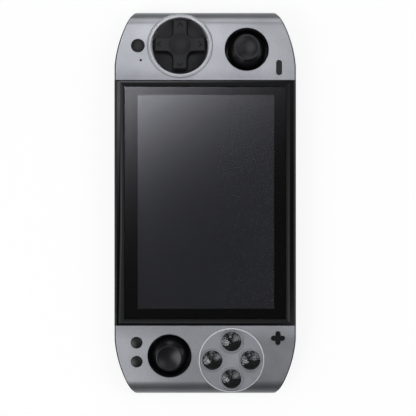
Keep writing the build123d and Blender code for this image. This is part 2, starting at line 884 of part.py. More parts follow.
for name, (x, y) in button_places.items():
    place = wing_plane(x, y)
    with BuildPart() as action_core:
        add(turned(place, core_profile))
    save(action_core, f"action_core_{name}")
    with BuildPart() as action_cap:
        add(turned(place, cap_profile))
    save(action_cap, f"action_cap_{name}")


# Small round buttons
def small_button(x, y, radius):
    """Round button with a domed top, a flange under the deck and a stem down to its switch."""
    flange_top = -(deck_under + small_flange_gap)
    flange_foot = flange_top - small_flange_thickness

    def profile():
        dome_edge(radius, small_height - small_dome, small_dome)
        Polyline(
            (radius, small_height - small_dome),
            (radius, flange_top),
            (radius + small_flange, flange_top),
            (radius + small_flange, flange_foot),
            (plunger_stem_radius, flange_foot),
            (plunger_stem_radius, -plunger_stem_depth),
            (0, -plunger_stem_depth),
            (0, small_height),
        )

    return turned(wing_plane(x, y), profile)


small_places = {
    "escape_button": (escape_x, escape_y, escape_radius),
    "select_button": (select_x, start_y, select_radius),
    "start_button": (start_x, start_y, select_radius),
}
dish_wall_cutter = wing_post(dpad_x, dpad_y, dish_radius + deck_under + small_gap, -overrun, -deck_under)
for name, (x, y, radius) in small_places.items():
    with BuildPart() as button:
        add(small_button(x, y, radius))
        add(dish_wall_cutter, mode=Mode.SUBTRACT)
    save(button, name)


# Volume keys
def volume_key(x, y, outline, flange_outline):
    """Key in the shape of its opening, with a flange under the deck and a stem down to its switch."""
    flange_top = -(deck_under + key_flange_gap)
    flange_foot = flange_top - small_flange_thickness
    with BuildPart() as key:
        add(wing_key(x, y, outline, flange_top, key_height))
        add(wing_key(x, y, flange_outline, flange_foot, flange_top))
        add(wing_post(x, y, min(plunger_stem_radius, minus_width / 2), -plunger_stem_depth, flange_foot))
    return key.part


minus_key = minus_outline(minus_length - 2 * key_gap, minus_width - 2 * key_gap)
minus_flange = minus_outline(minus_length + 2 * key_flange, minus_width + 2 * key_flange)
plus_key = plus_outline(plus_span - 2 * key_gap, plus_arm - 2 * key_gap)
plus_flange = plus_outline(plus_span + 2 * key_flange, plus_arm + 2 * key_flange)
with BuildPart() as volume_down_key:
    add(volume_key(minus_x, minus_y, minus_key, minus_flange))
save(volume_down_key, "volume_down_key")
with BuildPart() as volume_up_key:
    add(volume_key(plus_x, plus_y, plus_key, plus_flange))
save(volume_up_key, "volume_up_key")

# Microphone, under its hole
with BuildPart() as microphone:
    add(wing_post(mic_x, mic_y, mic_radius, -deck_under - mic_gap - mic_thickness, -deck_under - mic_gap))
save(microphone, "microphone")


# Thumb sticks
def well_profile():
    """Half section of the stepped ring that lines a stick's hole."""
    outer = stick_hole_radius - well_fit
    step = (outer + well_bore_radius) / 2
    flange_top = -(deck_under + well_flange_gap)
    foot = flange_top - well_flange_thickness
    Polyline(
        (outer, -well_top_drop),
        (outer, flange_top),
        (well_flange_radius, flange_top),
        (well_flange_radius, foot),
        (well_bore_radius, foot),
        (well_bore_radius, -well_top_drop - well_step_drop),
        (step, -well_top_drop - well_step_drop),
        (step, -well_top_drop),
        (outer, -well_top_drop),
    )


def stick_cap_profile():
    """Half section of the domed skirt with the dished cap on top, from the pivot up."""
    inside = dome_radius - dome_thickness
    rim_angle = dome_rim_radius / dome_radius
    rim_height = sqrt(dome_radius**2 - dome_rim_radius**2)
    neck_height = sqrt(dome_radius**2 - dome_neck_radius**2)
    bore = lever_radius + socket_gap
    bore_top = lever_top + socket_gap
    inner_rim = (inside * rim_angle, rim_height * inside / dome_radius)
    boss_height = sqrt(inside**2 - cap_boss_radius**2)
    dish_ball = (cap_dish_radius**2 + cap_dish_depth**2) / (2 * cap_dish_depth)
    between = (dome_rim_radius + dome_neck_radius) / 2
    inner_between = (inner_rim[0] + cap_boss_radius) / 2
    ThreePointArc(
        (dome_rim_radius, rim_height),
        (between, sqrt(dome_radius**2 - between**2)),
        (dome_neck_radius, neck_height),
    )
    Polyline(
        (dome_neck_radius, neck_height),
        (cap_radius, cap_underside),
        (cap_radius, cap_top - cap_edge),
        (cap_radius - cap_edge, cap_top),
        (cap_dish_radius, cap_top),
    )
    half_dish = cap_dish_radius / 2
    ThreePointArc(
        (cap_dish_radius, cap_top),
        (half_dish, cap_top - cap_dish_depth + dish_ball - sqrt(dish_ball**2 - half_dish**2)),
        (0, cap_top - cap_dish_depth),
    )
    Polyline(
        (0, cap_top - cap_dish_depth),
        (0, bore_top),
        (bore, bore_top),
        (bore, cap_boss_foot),
        (cap_boss_radius, cap_boss_foot),
        (cap_boss_radius, boss_height),
    )
    Polyline(
        (cap_boss_radius, boss_height),
        (inner_between, sqrt(inside**2 - inner_between**2)),
        inner_rim,
        (dome_rim_radius, rim_height),
    )


def stick_base(pivot):
    """Square cup with two ears on the board and two bearing holes for the yoke."""
    with BuildPart() as base:
        with BuildSketch(pivot.offset(-base_floor - base_wall)) as cup:
            Rectangle(base_width, base_width)
            chamfer(cup.vertices(), base_corner)
        extrude(amount=base_floor + base_wall + base_rise)
        with BuildSketch(pivot.offset(stick_pivot_depth - board_depth)):
            Rectangle(ear_width, ear_length)
        extrude(amount=ear_thickness)
        with BuildSketch(pivot.offset(-base_floor)):
            Rectangle(base_width - 2 * base_wall, base_width - 2 * base_wall)
        extrude(amount=base_floor + base_rise, mode=Mode.SUBTRACT)
        with BuildSketch(cross_plane(pivot, pivot.x_dir)):
            Circle(yoke_pin_radius + pin_clearance)
        extrude(amount=base_width, both=True, mode=Mode.SUBTRACT)
    return base.part


def stick_yoke(pivot):
    """Square ring with two pins in the base and two bearing holes for the lever."""
    with BuildPart() as yoke:
        with BuildSketch(pivot.offset(-yoke_half_height)):
            Rectangle(yoke_width, yoke_width)
        extrude(amount=2 * yoke_half_height)
        with BuildSketch(cross_plane(pivot, pivot.x_dir)):
            Circle(yoke_pin_radius)
        extrude(amount=base_width / 2, both=True)
        with BuildSketch(pivot.offset(-yoke_half_height)):
            Rectangle(yoke_bore, yoke_bore)
        extrude(amount=2 * yoke_half_height, mode=Mode.SUBTRACT)
        with BuildSketch(cross_plane(pivot, pivot.y_dir)):
            Circle(lever_pin_radius + pin_clearance)
        extrude(amount=yoke_width, both=True, mode=Mode.SUBTRACT)
    return yoke.part


def stick_lever(pivot):
    """Upright stem with a cross pin that turns in the yoke."""
    with BuildPart() as lever:
        with BuildSketch(pivot.offset(-lever_foot)):
            Circle(lever_radius)
        extrude(amount=lever_foot + lever_top)
        with BuildSketch(cross_plane(pivot, pivot.y_dir)):
            Circle(lever_pin_radius)
        extrude(amount=yoke_width / 2, both=True)
    return lever.part


for side, (x, y) in zip(("left", "right"), stick_places):
    pivot = wing_plane(x, y, -stick_pivot_depth)
    with BuildPart() as well:
        add(turned(wing_plane(x, y), well_profile))
    save(well, f"stick_well_{side}")
    with BuildPart() as base:
        add(stick_base(pivot))
    save(base, f"stick_base_{side}")
    with BuildPart() as yoke:
        add(stick_yoke(pivot))
    save(yoke, f"stick_yoke_{side}")
    with BuildPart() as lever:
        add(stick_lever(pivot))
    save(lever, f"stick_lever_{side}")
    with BuildPart() as cap:
        add(turned(pivot, stick_cap_profile))
    save(cap, f"stick_cap_{side}")


# Key boards, parallel to the wings
def key_board(side, stick_place, screws):
    """Board of one wing, cut out for the stick's base and drilled for its screws."""
    slope = cos(radians(wing_tilt))
    inner = panel_edge + board_from_panel_edge
    middle = wing_plane(side * inner, 0, -board_depth - board_thickness)
    length = (half_length - board_shoulder_from_end - inner) / slope
    tip_length = (half_length - board_tip_from_end - inner) / slope
    with BuildPart() as board:
        with BuildSketch(middle):
            with Locations((side * length / 2, 0)):
                Rectangle(length, body_width)
            with Locations((side * tip_length / 2, 0)):
                Rectangle(tip_length, 2 * board_tip_half_width)
        extrude(amount=board_thickness)
        with BuildSketch():
            add(body_outline(board_side_inset))
        extrude(amount=body_height, mode=Mode.INTERSECT)
        with BuildSketch(wing_plane(*stick_place, -board_depth - board_thickness)):
            cut_out = base_width + 2 * switch_clearance
            Rectangle(cut_out, cut_out)
        extrude(amount=board_thickness, mode=Mode.SUBTRACT)
        for from_end, y in screws:
            x = side * (half_length - from_end)
            add(wing_post(x, y, board_screw_pass, -overrun, 0), mode=Mode.SUBTRACT)
    return board.part


with BuildPart() as key_board_left:
    add(key_board(-1, stick_places[0], left_board_screws))
save(key_board_left, "key_board_left")
with BuildPart() as key_board_right:
    add(key_board(1, stick_places[1], right_board_screws))
save(key_board_right, "key_board_right")


def push_switch(x, y):
    """Square push switch on a key board, its plunger drawn pressed in."""
    with BuildPart() as switch:
        with BuildSketch(wing_plane(x, y, -board_depth)):
            Rectangle(switch_width, switch_width)
        extrude(amount=switch_height)
        plunger_top = -plunger_stem_depth - small_travel - switch_clearance
        add(wing_post(x, y, switch_plunger_radius, -board_depth + switch_height, plunger_top))
    return switch.part


def side_switch(side):
    """Push switch on a key board that faces the shoulder button."""
    x = side * (half_length - shoulder_switch_from_end)
    with BuildPart() as switch:
        with BuildSketch(wing_plane(x, shoulder_switch_y, -board_depth)):
            Rectangle(*shoulder_switch_size)
        extrude(amount=shoulder_switch_height)
        place = wing_plane(x, shoulder_switch_y, shoulder_switch_height / 2 - board_depth)
        with BuildSketch(cross_plane(place, place.y_dir)):
            Circle(shoulder_plunger_radius)
        extrude(amount=shoulder_switch_size[1] / 2 + shoulder_plunger_length)
    return switch.part


switch_places = {
    "left": ((escape_x, escape_y), (minus_x, minus_y)),
    "right": ((select_x, start_y), (start_x, start_y), (plus_x, plus_y)),
}
for side, name in ((-1, "left"), (1, "right")):
    with BuildPart() as switches:
        for x, y in switch_places[name]:
            add(push_switch(x, y))
        add(side_switch(side))
    save(switches, f"push_switches_{name}")


# Rubber contact mats, their domes drawn pressed in
def contact_mat(x, y, radius, dome_places, hole_radius):
    """Round mat on a key board with a dome at each place."""
    with BuildPart() as mat:
        with BuildSketch(wing_plane(x, y, -board_depth)):
            Circle(radius)
            if hole_radius:
                Circle(hole_radius, mode=Mode.SUBTRACT)
        extrude(amount=mat_thickness)
        for dome_x, dome_y in dome_places:
            add(wing_post(dome_x, dome_y, mat_dome_radius, -board_depth, mat_dome_height - board_depth))
    return mat.part


pad_domes = [
    (dpad_x + pad_dome_circle * cos(radians(angle)), dpad_y + pad_dome_circle * sin(radians(angle)))
    for angle in (0, 90, 180, 270)
]
with BuildPart() as dpad_mat:
    add(contact_mat(dpad_x, dpad_y, pad_mat_radius, pad_domes, pivot_radius + mat_hole_gap))
save(dpad_mat, "dpad_mat")
with BuildPart() as action_mat:
    add(contact_mat(disc_x, disc_y, pad_mat_radius, button_places.values(), 0))
save(action_mat, "action_mat")

# Shoulder buttons: curved bars on upright pins
with BuildPart() as shoulder_bars:
    add(shoulder_band(shoulder_depth, 0, shoulder_foot, shoulder_top))
    upright = edges().filter_by(Axis.Z)
    chamfer(upright, shoulder_corner / 2)
for side, name in ((-1, "shoulder_left"), (1, "shoulder_right")):
    limits = sorted((0, side * body_length))
    with BuildPart() as shoulder:
        add(shoulder_bars.part)
        add(block(limits, (-body_width, body_width), (0, body_height)), mode=Mode.INTERSECT)
        bore = upright_post(side * hinge_x, hinge_y, hinge_pin_radius + hinge_clearance, 0, body_height)
        add(bore, mode=Mode.SUBTRACT)
    save(shoulder, name)
with BuildPart() as shoulder_pins:
    for side in (-1, 1):
        top = hinge_top + hinge_pin_reach - hinge_clearance
        add(upright_post(side * hinge_x, hinge_y, hinge_pin_radius, hinge_pin_foot + hinge_clearance, top))
save(shoulder_pins, "shoulder_pins")

# Main board with its chips, battery, loudspeakers and flat cables
with BuildPart() as main_board:
    with BuildSketch(Plane.XY.offset(main_board_height)):
        Rectangle(2 * main_board_half_length, 2 * main_board_half_width)
        with Locations((jack_x, -half_width)):
            notch = half_width - main_board_half_width + jack_length
            Rectangle(jack_width + 2 * jack_board_gap, 2 * (notch + wall), mode=Mode.SUBTRACT)
    extrude(amount=main_board_thickness)
    for x, y, length, width, height in chip_places:
        limits = ((x - length / 2, x + length / 2), (y - width / 2, y + width / 2))
        add(block(*limits, (board_top, board_top + height)))
    for x, y in board_screw_places:
        add(upright_post(x, y, board_screw_pass, 0, body_height), mode=Mode.SUBTRACT)
save(main_board, "main_board")


def centred_block(x, y, size, low):
    """Box of the given size, centred on x, y, standing on low."""
    return block((x - size[0] / 2, x + size[0] / 2), (y - size[1] / 2, y + size[1] / 2), (low, low + size[2]))


with BuildPart() as battery:
    add(centred_block(0, 0, battery_size, wall + floor_gap))
save(battery, "battery")
for side, name in ((-1, "speaker_left"), (1, "speaker_right")):
    with BuildPart() as speaker:
        add(centred_block(side * speaker_x, 0, speaker_size, wall + floor_gap))
    save(speaker, name)

with BuildPart() as flat_cables:
    inner = panel_edge + board_from_panel_edge
    for side, y in ((-1, dpad_y), (1, disc_y)):
        key_top = wing_plane(side * inner, 0, floor_gap + ribbon_thickness / 2 - board_depth)
        end = key_top.origin + key_top.x_dir * side * ribbon_overlap
        low = board_top + floor_gap + ribbon_thickness / 2
        with BuildSketch(Plane.XZ.offset(-y)):
            with BuildLine():
                Polyline(
                    (side * (main_board_half_length - ribbon_overlap), low),
                    (side * main_board_half_length, low),
                    (side * (main_board_half_length + inner) / 2, low + ribbon_rise),
                    (key_top.origin.X, key_top.origin.Z),
                    (end.X, end.Z),
                )
            trace(line_width=ribbon_thickness)
        extrude(amount=ribbon_width / 2, both=True)
save(flat_cables, "flat_cables")

# Sockets
socket_front = -(half_width - wall - socket_front_gap)
with BuildPart() as headphone_jack:
    jack_limits = ((jack_x - jack_width / 2, jack_x + jack_width / 2), (socket_front, socket_front + jack_length))
    add(block(*jack_limits, (jack_z - jack_height / 2, jack_z + jack_height / 2)))
    with BuildSketch(Plane.XZ.offset(-socket_front)):
        with Locations((jack_x, jack_z)):
            Circle(jack_bore_radius)
    extrude(amount=-jack_bore_length, mode=Mode.SUBTRACT)
save(headphone_jack, "headphone_jack")


def open_socket(x, size, slot, depth_share):
    """Metal socket on the main board, open towards the lower long side."""
    low = board_top + socket_floor_gap
    depth = (socket_front, socket_front + size[1])
    middle = low + size[2] / 2
    with BuildPart() as socket:
        add(block((x - size[0] / 2, x + size[0] / 2), depth, (low, low + size[2])))
        opening = (middle - slot[1] / 2, middle + slot[1] / 2)
        reach = (socket_front, socket_front + size[1] * depth_share)
        add(block((x - slot[0] / 2, x + slot[0] / 2), reach, opening), mode=Mode.SUBTRACT)
    return socket.part


socket_depth_share = 0.85
for name, x, size, slot in (
    ("usb_socket", usb_x, usb_size, usb_slot),
    ("hdmi_socket", hdmi_x, hdmi_size, hdmi_slot),
    ("card_socket", card_x, card_size, card_slot),
):
    with BuildPart() as socket:
        add(open_socket(x, size, slot, socket_depth_share))
    save(socket, name)

# Power switch and its slider
inside_wall = half_width - wall
with BuildPart() as power_slider:
    knob = (slider_x - slider_length / 2, slider_x + slider_length / 2)
    flange_back = inside_wall - slider_flange_gap - slider_flange
    limits = (slider_z - slider_height / 2, slider_z + slider_height / 2)
    add(block(knob, (flange_back, half_width - slider_recess), limits))
    cover = slider_travel + slider_flange
    flange = (knob[0] - cover, knob[1] + cover)
    flange_limits = (limits[0] - slider_flange / 2, limits[1] + slider_flange / 2)
    add(block(flange, (flange_back, flange_back + slider_flange), flange_limits))
    pitch = slider_length / (slider_ridges + 1)
    with BuildSketch(Plane.XZ.offset(-(half_width - slider_recess))):
        with Locations((slider_x, slider_z)):
            with GridLocations(pitch, 0, slider_ridges, 1):
                Rectangle(slider_ridge_width, slider_height)
    extrude(amount=slider_ridge_width / 2, mode=Mode.SUBTRACT)
save(power_slider, "power_slider")
with BuildPart() as power_switch:
    back = flange_back - power_switch_gap
    x_limits = (slot_x - power_switch_size[0] / 2, slot_x + power_switch_size[0] / 2)
    add(
        block(
            x_limits,
            (back - power_switch_size[1], back),
            (board_top + socket_floor_gap, board_top + power_switch_size[2]),
        )
    )
save(power_switch, "power_switch")

# Screws
with BuildPart() as case_screws_group:
    for x, y in case_screws:
        add(upright_post(x, y, screw_head_radius, screw_seat_height - screw_head_height, screw_seat_height))
        add(upright_post(x, y, screw_shaft_radius, screw_seat_height, screw_seat_height + screw_length))
save(case_screws_group, "case_screws")
with BuildPart() as board_screws:
    shaft = board_screw_length - board_screw_head_height
    for x, y in board_screw_places:
        add(upright_post(x, y, board_screw_head, main_board_height - board_screw_head_height, main_board_height))
        add(upright_post(x, y, board_screw_radius, main_board_height, board_top + shaft))
    for side, places in ((-1, left_board_screws), (1, right_board_screws)):
        for from_end, y in places:
            x = side * (half_length - from_end)
            under = -board_depth - board_thickness
            add(wing_post(x, y, board_screw_head, under - board_screw_head_height, under))
            add(wing_post(x, y, board_screw_radius, under, -board_depth + shaft))
save(board_screws, "board_screws")
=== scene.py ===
"""Visual model of a handheld game console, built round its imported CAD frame.

The console lies on its back: X runs along its length, Y towards the shoulder buttons and Z out of the screen. All
sizes in the classes below are in millimetres, and meshes are written in metres.
"""

from __future__ import annotations

import json
import logging
import math
from dataclasses import dataclass, field
from enum import Enum
from typing import Any, Mapping, Sequence

import bpy
import numpy as np
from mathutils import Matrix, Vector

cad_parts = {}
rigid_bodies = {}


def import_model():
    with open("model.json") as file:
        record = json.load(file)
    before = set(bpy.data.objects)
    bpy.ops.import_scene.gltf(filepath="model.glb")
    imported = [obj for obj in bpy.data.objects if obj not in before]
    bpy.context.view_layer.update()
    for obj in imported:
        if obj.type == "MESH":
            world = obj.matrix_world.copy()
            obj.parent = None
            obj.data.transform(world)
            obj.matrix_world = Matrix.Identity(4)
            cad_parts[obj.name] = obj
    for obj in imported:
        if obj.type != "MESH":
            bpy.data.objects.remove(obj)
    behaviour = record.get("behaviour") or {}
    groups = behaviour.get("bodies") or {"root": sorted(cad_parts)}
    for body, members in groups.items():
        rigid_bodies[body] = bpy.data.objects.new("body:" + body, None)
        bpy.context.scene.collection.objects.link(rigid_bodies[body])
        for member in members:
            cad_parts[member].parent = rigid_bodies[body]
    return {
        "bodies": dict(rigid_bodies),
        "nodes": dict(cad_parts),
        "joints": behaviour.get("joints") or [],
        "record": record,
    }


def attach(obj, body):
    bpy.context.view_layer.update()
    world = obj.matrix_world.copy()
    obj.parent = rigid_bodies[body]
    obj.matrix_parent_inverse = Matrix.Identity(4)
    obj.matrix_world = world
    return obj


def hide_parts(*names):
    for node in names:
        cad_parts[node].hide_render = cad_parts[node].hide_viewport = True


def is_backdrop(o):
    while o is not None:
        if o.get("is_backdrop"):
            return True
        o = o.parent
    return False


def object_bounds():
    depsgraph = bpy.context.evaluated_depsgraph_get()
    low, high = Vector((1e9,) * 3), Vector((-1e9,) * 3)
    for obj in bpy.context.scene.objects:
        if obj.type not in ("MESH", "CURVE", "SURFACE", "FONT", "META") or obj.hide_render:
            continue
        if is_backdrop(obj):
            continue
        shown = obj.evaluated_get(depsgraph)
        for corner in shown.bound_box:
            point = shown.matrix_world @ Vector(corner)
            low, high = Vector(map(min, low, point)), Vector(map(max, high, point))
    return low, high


LOG = logging.getLogger("console")
MM = 0.001
ARC_STEPS = 6  # points on a rounded corner of a profile
CLOUD_SCALE = 45.0  # broad patches in every finish, per metre
TINT_RANGE = (0.12, 0.42)  # noise values at the second and the first colour of a finish
GRAIN_RANGE = (0.3, 0.7)  # noise values between which the gloss varies
LEVEL_RANGE = (0.9, 0.985)  # upward part of the normal on a slope and on a level face
MERGE_DISTANCE = 0.002 * MM  # joins the corners of the frame's loose triangles
BEVEL_ANGLE = math.radians(38)
SMOOTH_ANGLE = math.radians(34)
SLICKEST = 0.02  # lowest roughness that a finish's grain reaches
BOX_COLOUR = "f9faff"
WHITE = (1.0, 1.0, 1.0, 1.0)
Shape = tuple[np.ndarray, list[list[int]]]  # vertices and faces
Pair = tuple[float, float]  # radius and height, x and y, or the two ends of a range


# ---- shared helpers ----


def linear(digits: str) -> tuple[float, float, float, float]:
    """Turns an sRGB hex colour into linear light.

    Args:
        digits: The six hex digits.

    Returns:
        Red, green, blue and an alpha of one.
    """
    values = np.array([int(digits[i : i + 2], 16) / 255 for i in (0, 2, 4)])
    low = values / 12.92
    high = ((values + 0.055) / 1.055) ** 2.4
    red, green, blue = np.where(values <= 0.04045, low, high)
    return float(red), float(green), float(blue), 1.0


def empty_tree(owner: bpy.types.Material | bpy.types.World) -> bpy.types.NodeTree:
    """Switches nodes on and clears them.

    Args:
        owner: The material or world.

    Returns:
        Its empty node tree.
    """
    owner.use_nodes = True
    owner.node_tree.nodes.clear()
    return owner.node_tree


def add_node(
    tree: bpy.types.NodeTree, kind: str, inputs: Mapping[Any, Any] | None = None, **settings: Any
) -> bpy.types.Node:
    """Adds a node with its settings, values and links.

    Args:
        tree: The node tree to add to.
        kind: The node's type name.
        inputs: Input name or number to a value, or to the output socket that feeds it.
        settings: Properties of the node itself.

    Returns:
        The new node.
    """
    node = tree.nodes.new(kind)
    for name, value in settings.items():
        setattr(node, name, value)
    for name, value in (inputs or {}).items():
        if isinstance(value, bpy.types.NodeSocket):
            tree.links.new(value, node.inputs[name])
        else:
            node.inputs[name].default_value = value
    return node


def add_object(name: str, data: bpy.types.ID) -> bpy.types.Object:
    """Adds an object to the scene.

    Args:
        name: The object's name.
        data: Its mesh, lamp or camera.

    Returns:
        The new object.
    """
    made = bpy.data.objects.new(name, data)
    bpy.context.scene.collection.objects.link(made)
    return made


def map_range(
    tree: bpy.types.NodeTree, value: Any, source: Pair, target: tuple[Any, Any], kind: str = "LINEAR"
) -> bpy.types.NodeSocket:
    """Maps a value from one range to another.

    Args:
        tree: The node tree to add to.
        value: The output socket that gives the value.
        source: The two ends of its range.
        target: What they become, as numbers or sockets.
        kind: How the value runs between them.

    Returns:
        The output socket.
    """
    inputs = {"Value": value, "From Min": source[0], "From Max": source[1], "To Min": target[0], "To Max": target[1]}
    return add_node(tree, "ShaderNodeMapRange", inputs, interpolation_type=kind).outputs["Result"]


# ---- finishes ----


@dataclass(frozen=True)
class Finish:
    """A surface finish: its colours, gloss and the grain that its making leaves."""

    name: str
    colour: str
    second: str
    roughness: float
    grain: float  # width of one grain, mm
    relief: float  # height of the grain, mm
    metallic: float = 0.0
    ior: float = 1.5
    coat: float = 0.0
    transmission: float = 0.0
    roughness_spread: float = 0.06
    stretch: tuple[float, float, float] = (1.0, 1.0, 1.0)
    slope_roughness: float | None = None  # of faces that don't lie level, where it differs

    def material(self) -> bpy.types.Material:
        """Builds the procedural material, or returns the one already built."""
        made = bpy.data.materials.get(self.name)
        if made:
            return made
        made = bpy.data.materials.new(self.name)
        tree = empty_tree(made)
        place = add_node(tree, "ShaderNodeTexCoord").outputs["Object"]
        drawn = add_node(tree, "ShaderNodeMapping", {"Vector": place, "Scale": self.stretch}).outputs["Vector"]
        noise = {"Vector": drawn, "Scale": 1 / (self.grain * MM), "Detail": 3.0, "Roughness": 0.6}
        fine = add_node(tree, "ShaderNodeTexNoise", noise).outputs["Fac"]
        noise = {"Vector": place, "Scale": CLOUD_SCALE, "Detail": 2.0}
        broad = add_node(tree, "ShaderNodeTexNoise", noise).outputs["Fac"]
        blend = add_node(tree, "ShaderNodeMath", {0: fine, 1: broad}, operation="MULTIPLY").outputs["Value"]
        tint = add_node(tree, "ShaderNodeValToRGB", {"Fac": blend})
        for stop, position, colour in zip(tint.color_ramp.elements, TINT_RANGE, (self.second, self.colour)):
            stop.position, stop.color = position, linear(colour)
        span = max(SLICKEST, self.roughness - self.roughness_spread), self.roughness + self.roughness_spread
        rough = map_range(tree, fine, GRAIN_RANGE, span)
        if self.slope_roughness is not None:
            facing = add_node(tree, "ShaderNodeNewGeometry").outputs["Normal"]
            lean = add_node(tree, "ShaderNodeSeparateXYZ", {"Vector": facing}).outputs["Z"]
            rough = map_range(tree, lean, LEVEL_RANGE, (self.slope_roughness, rough))
        bump = add_node(tree, "ShaderNodeBump", {"Height": fine, "Strength": 1.0, "Distance": self.relief * MM})
        looks = {
            "Base Color": tint.outputs["Color"], "Roughness": rough, "Normal": bump.outputs["Normal"],
            "Metallic": self.metallic, "IOR": self.ior, "Transmission Weight": self.transmission,
            "Coat Weight": self.coat, "Coat Roughness": 0.04,
        }
        shader = add_node(tree, "ShaderNodeBsdfPrincipled", looks)
        add_node(tree, "ShaderNodeOutputMaterial", {"Surface": shader.outputs["BSDF"]})
        return made


# Bead-blasted, anodised aluminium: an even matt silver with a fine sparkle, its 0.1 mm pits drawn at 0.4 mm.
BEAD_BLASTED_ALUMINIUM = Finish(
    "bead_blasted_aluminium", "bfc0c3", "a2a3a7", 0.36, 0.4, 0.005, metallic=1.0, roughness_spread=0.05
)
# Spark-eroded ABS: black-grey with a low satin sheen and a fine leathery grain of about 0.25 mm.
MOULDED_ABS = Finish("spark_eroded_abs", "1d1c1e", "161517", 0.42, 0.25, 0.006, ior=1.53)
# Piano-black PMMA under a hard coat that dims its reflections: polished on its level face, and matt on the slopes, so
# that no light streaks along them.
POLISHED_PMMA = Finish(
    "polished_black_pmma", "060607", "040405", 0.08, 0.8, 0.0006, ior=1.38, roughness_spread=0.02, slope_roughness=0.5
)
# Chemically hardened cover glass: clear and flat, with a trace of anti-glare etch that softens what it reflects.
HARDENED_GLASS = Finish(
    "hardened_cover_glass", "ffffff", "fbfbfb", 0.04, 3.0, 0.0, transmission=1.0, roughness_spread=0.005
)
# Closed-cell foam, cut as a frame: dead black.
CLOSED_CELL_FOAM = Finish("closed_cell_foam", "060607", "020203", 0.9, 0.4, 0.02)
# Polariser film of a display that is switched off: dark grey with a blue cast.
POLARISER_FILM = Finish("polariser_film", "1e2028", "1b1d24", 0.3, 1.2, 0.0004, ior=1.3, roughness_spread=0.02)
# Moulded clear acrylic, polished: bright edges and a lens effect over what lies below.
CLEAR_ACRYLIC = Finish(
    "clear_moulded_acrylic", "ffffff", "f6f8fa", 0.03, 2.5, 0.0, ior=1.49, transmission=1.0, roughness_spread=0.01
)
# The same with a little diffuser, as in a light guide: the disc and the domes' collars look paler than the metal.
MILKY_ACRYLIC = Finish(
    "milky_moulded_acrylic", "f6f7fa", "eceef2", 0.05, 2.5, 0.0, ior=1.49, transmission=0.72, roughness_spread=0.02
)
# The same with more diffuser, for the ring: nearly white where the light falls on it.
OPAL_ACRYLIC = Finish(
    "opal_moulded_acrylic", "fbfcff", "f2f4f8", 0.05, 2.5, 0.0, ior=1.49, transmission=0.55, roughness_spread=0.02
)
# Whitish frosted acrylic. On the disc's chamfer it is a painted highlight: a white skin that stands for the line of
# light along the edge. On the ring it makes the frosted band along the inner edge.
FROSTED_ACRYLIC_AND_HIGHLIGHT = Finish(
    "frosted_acrylic_and_painted_highlight", "ffffff", "fafbff", 0.3, 0.6, 0.002, ior=1.49, transmission=0.15, roughness_spread=0.05
)
# Black ABS core of each domed button: matt under the clear cap, which does the shining.
CORE_ABS = Finish("matt_core_abs", "0a0a0d", "070709", 0.45, 0.6, 0.0, ior=1.25)
# Finely textured ABS of the direction pad and the wells: black with a low sheen that draws the arms' edges.
PAD_ABS = Finish("textured_black_abs", "111114", "0d0d10", 0.4, 0.2, 0.004, ior=1.42)
# Lightly sparked ABS of the small round buttons and the power slider: satin black.
SATIN_ABS = Finish("satin_black_abs", "0d0d0f", "0a0a0c", 0.34, 0.18, 0.004, ior=1.44)
# The same ABS on the two volume keys, darker and smoother: nearly black.
KEY_ABS = Finish("smooth_black_abs", "070708", "050506", 0.3, 0.18, 0.003, ior=1.46)
# Silicone rubber of the stick caps: black, with a slightly greasy sheen in the hollow and on the crests.
SILICONE_RUBBER = Finish("moulded_silicone_rubber", "121215", "0c0c0e", 0.3, 0.22, 0.004, ior=1.45)
# Grey translucent silicone of the contact mats.
CONTACT_SILICONE = Finish("contact_silicone", "9a9a9c", "8c8c8f", 0.55, 0.5, 0.004, ior=1.42)
# Matt black solder mask over woven glass, whose 0.4 mm threads show faintly: nothing shines out beside the sticks.
SOLDER_MASK = Finish("black_solder_mask", "15181a", "0f1213", 0.35, 0.4, 0.003, coat=0.2, stretch=(1.0, 2.0, 1.0))
# Black glass-filled nylon of switches, sockets and the stick bases.
GLASS_FILLED_NYLON = Finish("glass_filled_nylon", "222224", "19191b", 0.5, 0.15, 0.004)
# White acetal of the sticks' moving gimbal pieces: waxy and smooth.
WHITE_ACETAL = Finish("white_acetal", "d8d7d2", "cfcec9", 0.35, 0.5, 0.002, ior=1.48)
# Nickel-plated steel of screws, pins, ball and socket shells: drawn marks 0.1 mm apart along X.
NICKELLED_STEEL = Finish(
    "nickel_plated_steel", "bab8b3", "a2a09b", 0.24, 0.12, 0.001, metallic=1.0, stretch=(0.1, 1.0, 1.0)
)
# Gold flash over nickel on the sockets' contacts: warm, and smooth but for rolling marks 0.1 mm apart.
GOLD_PLATE = Finish("gold_plated_contact", "d8b25c", "c79f49", 0.25, 0.1, 0.0005, metallic=1.0)
# Shrink-wrapped polyester of the battery cell.
BATTERY_WRAP = Finish("battery_polyester_wrap", "6f7074", "646569", 0.3, 0.9, 0.01)
# Polyimide flat cable: amber film over copper.
POLYIMIDE_FILM = Finish("amber_polyimide", "a5631f", "8d4f15", 0.25, 0.5, 0.001, coat=0.3)
# The gauze of the microphone hole, dead black. It is partly the gauze that such holes have and partly painted shade:
# its black stands for the shade inside the hole, which reads as a dark dot.
GAUZE_AND_PAINTED_SHADE = Finish("black_gauze_and_painted_shade", "050506", "020203", 0.8, 0.1, 0.01, ior=1.2)

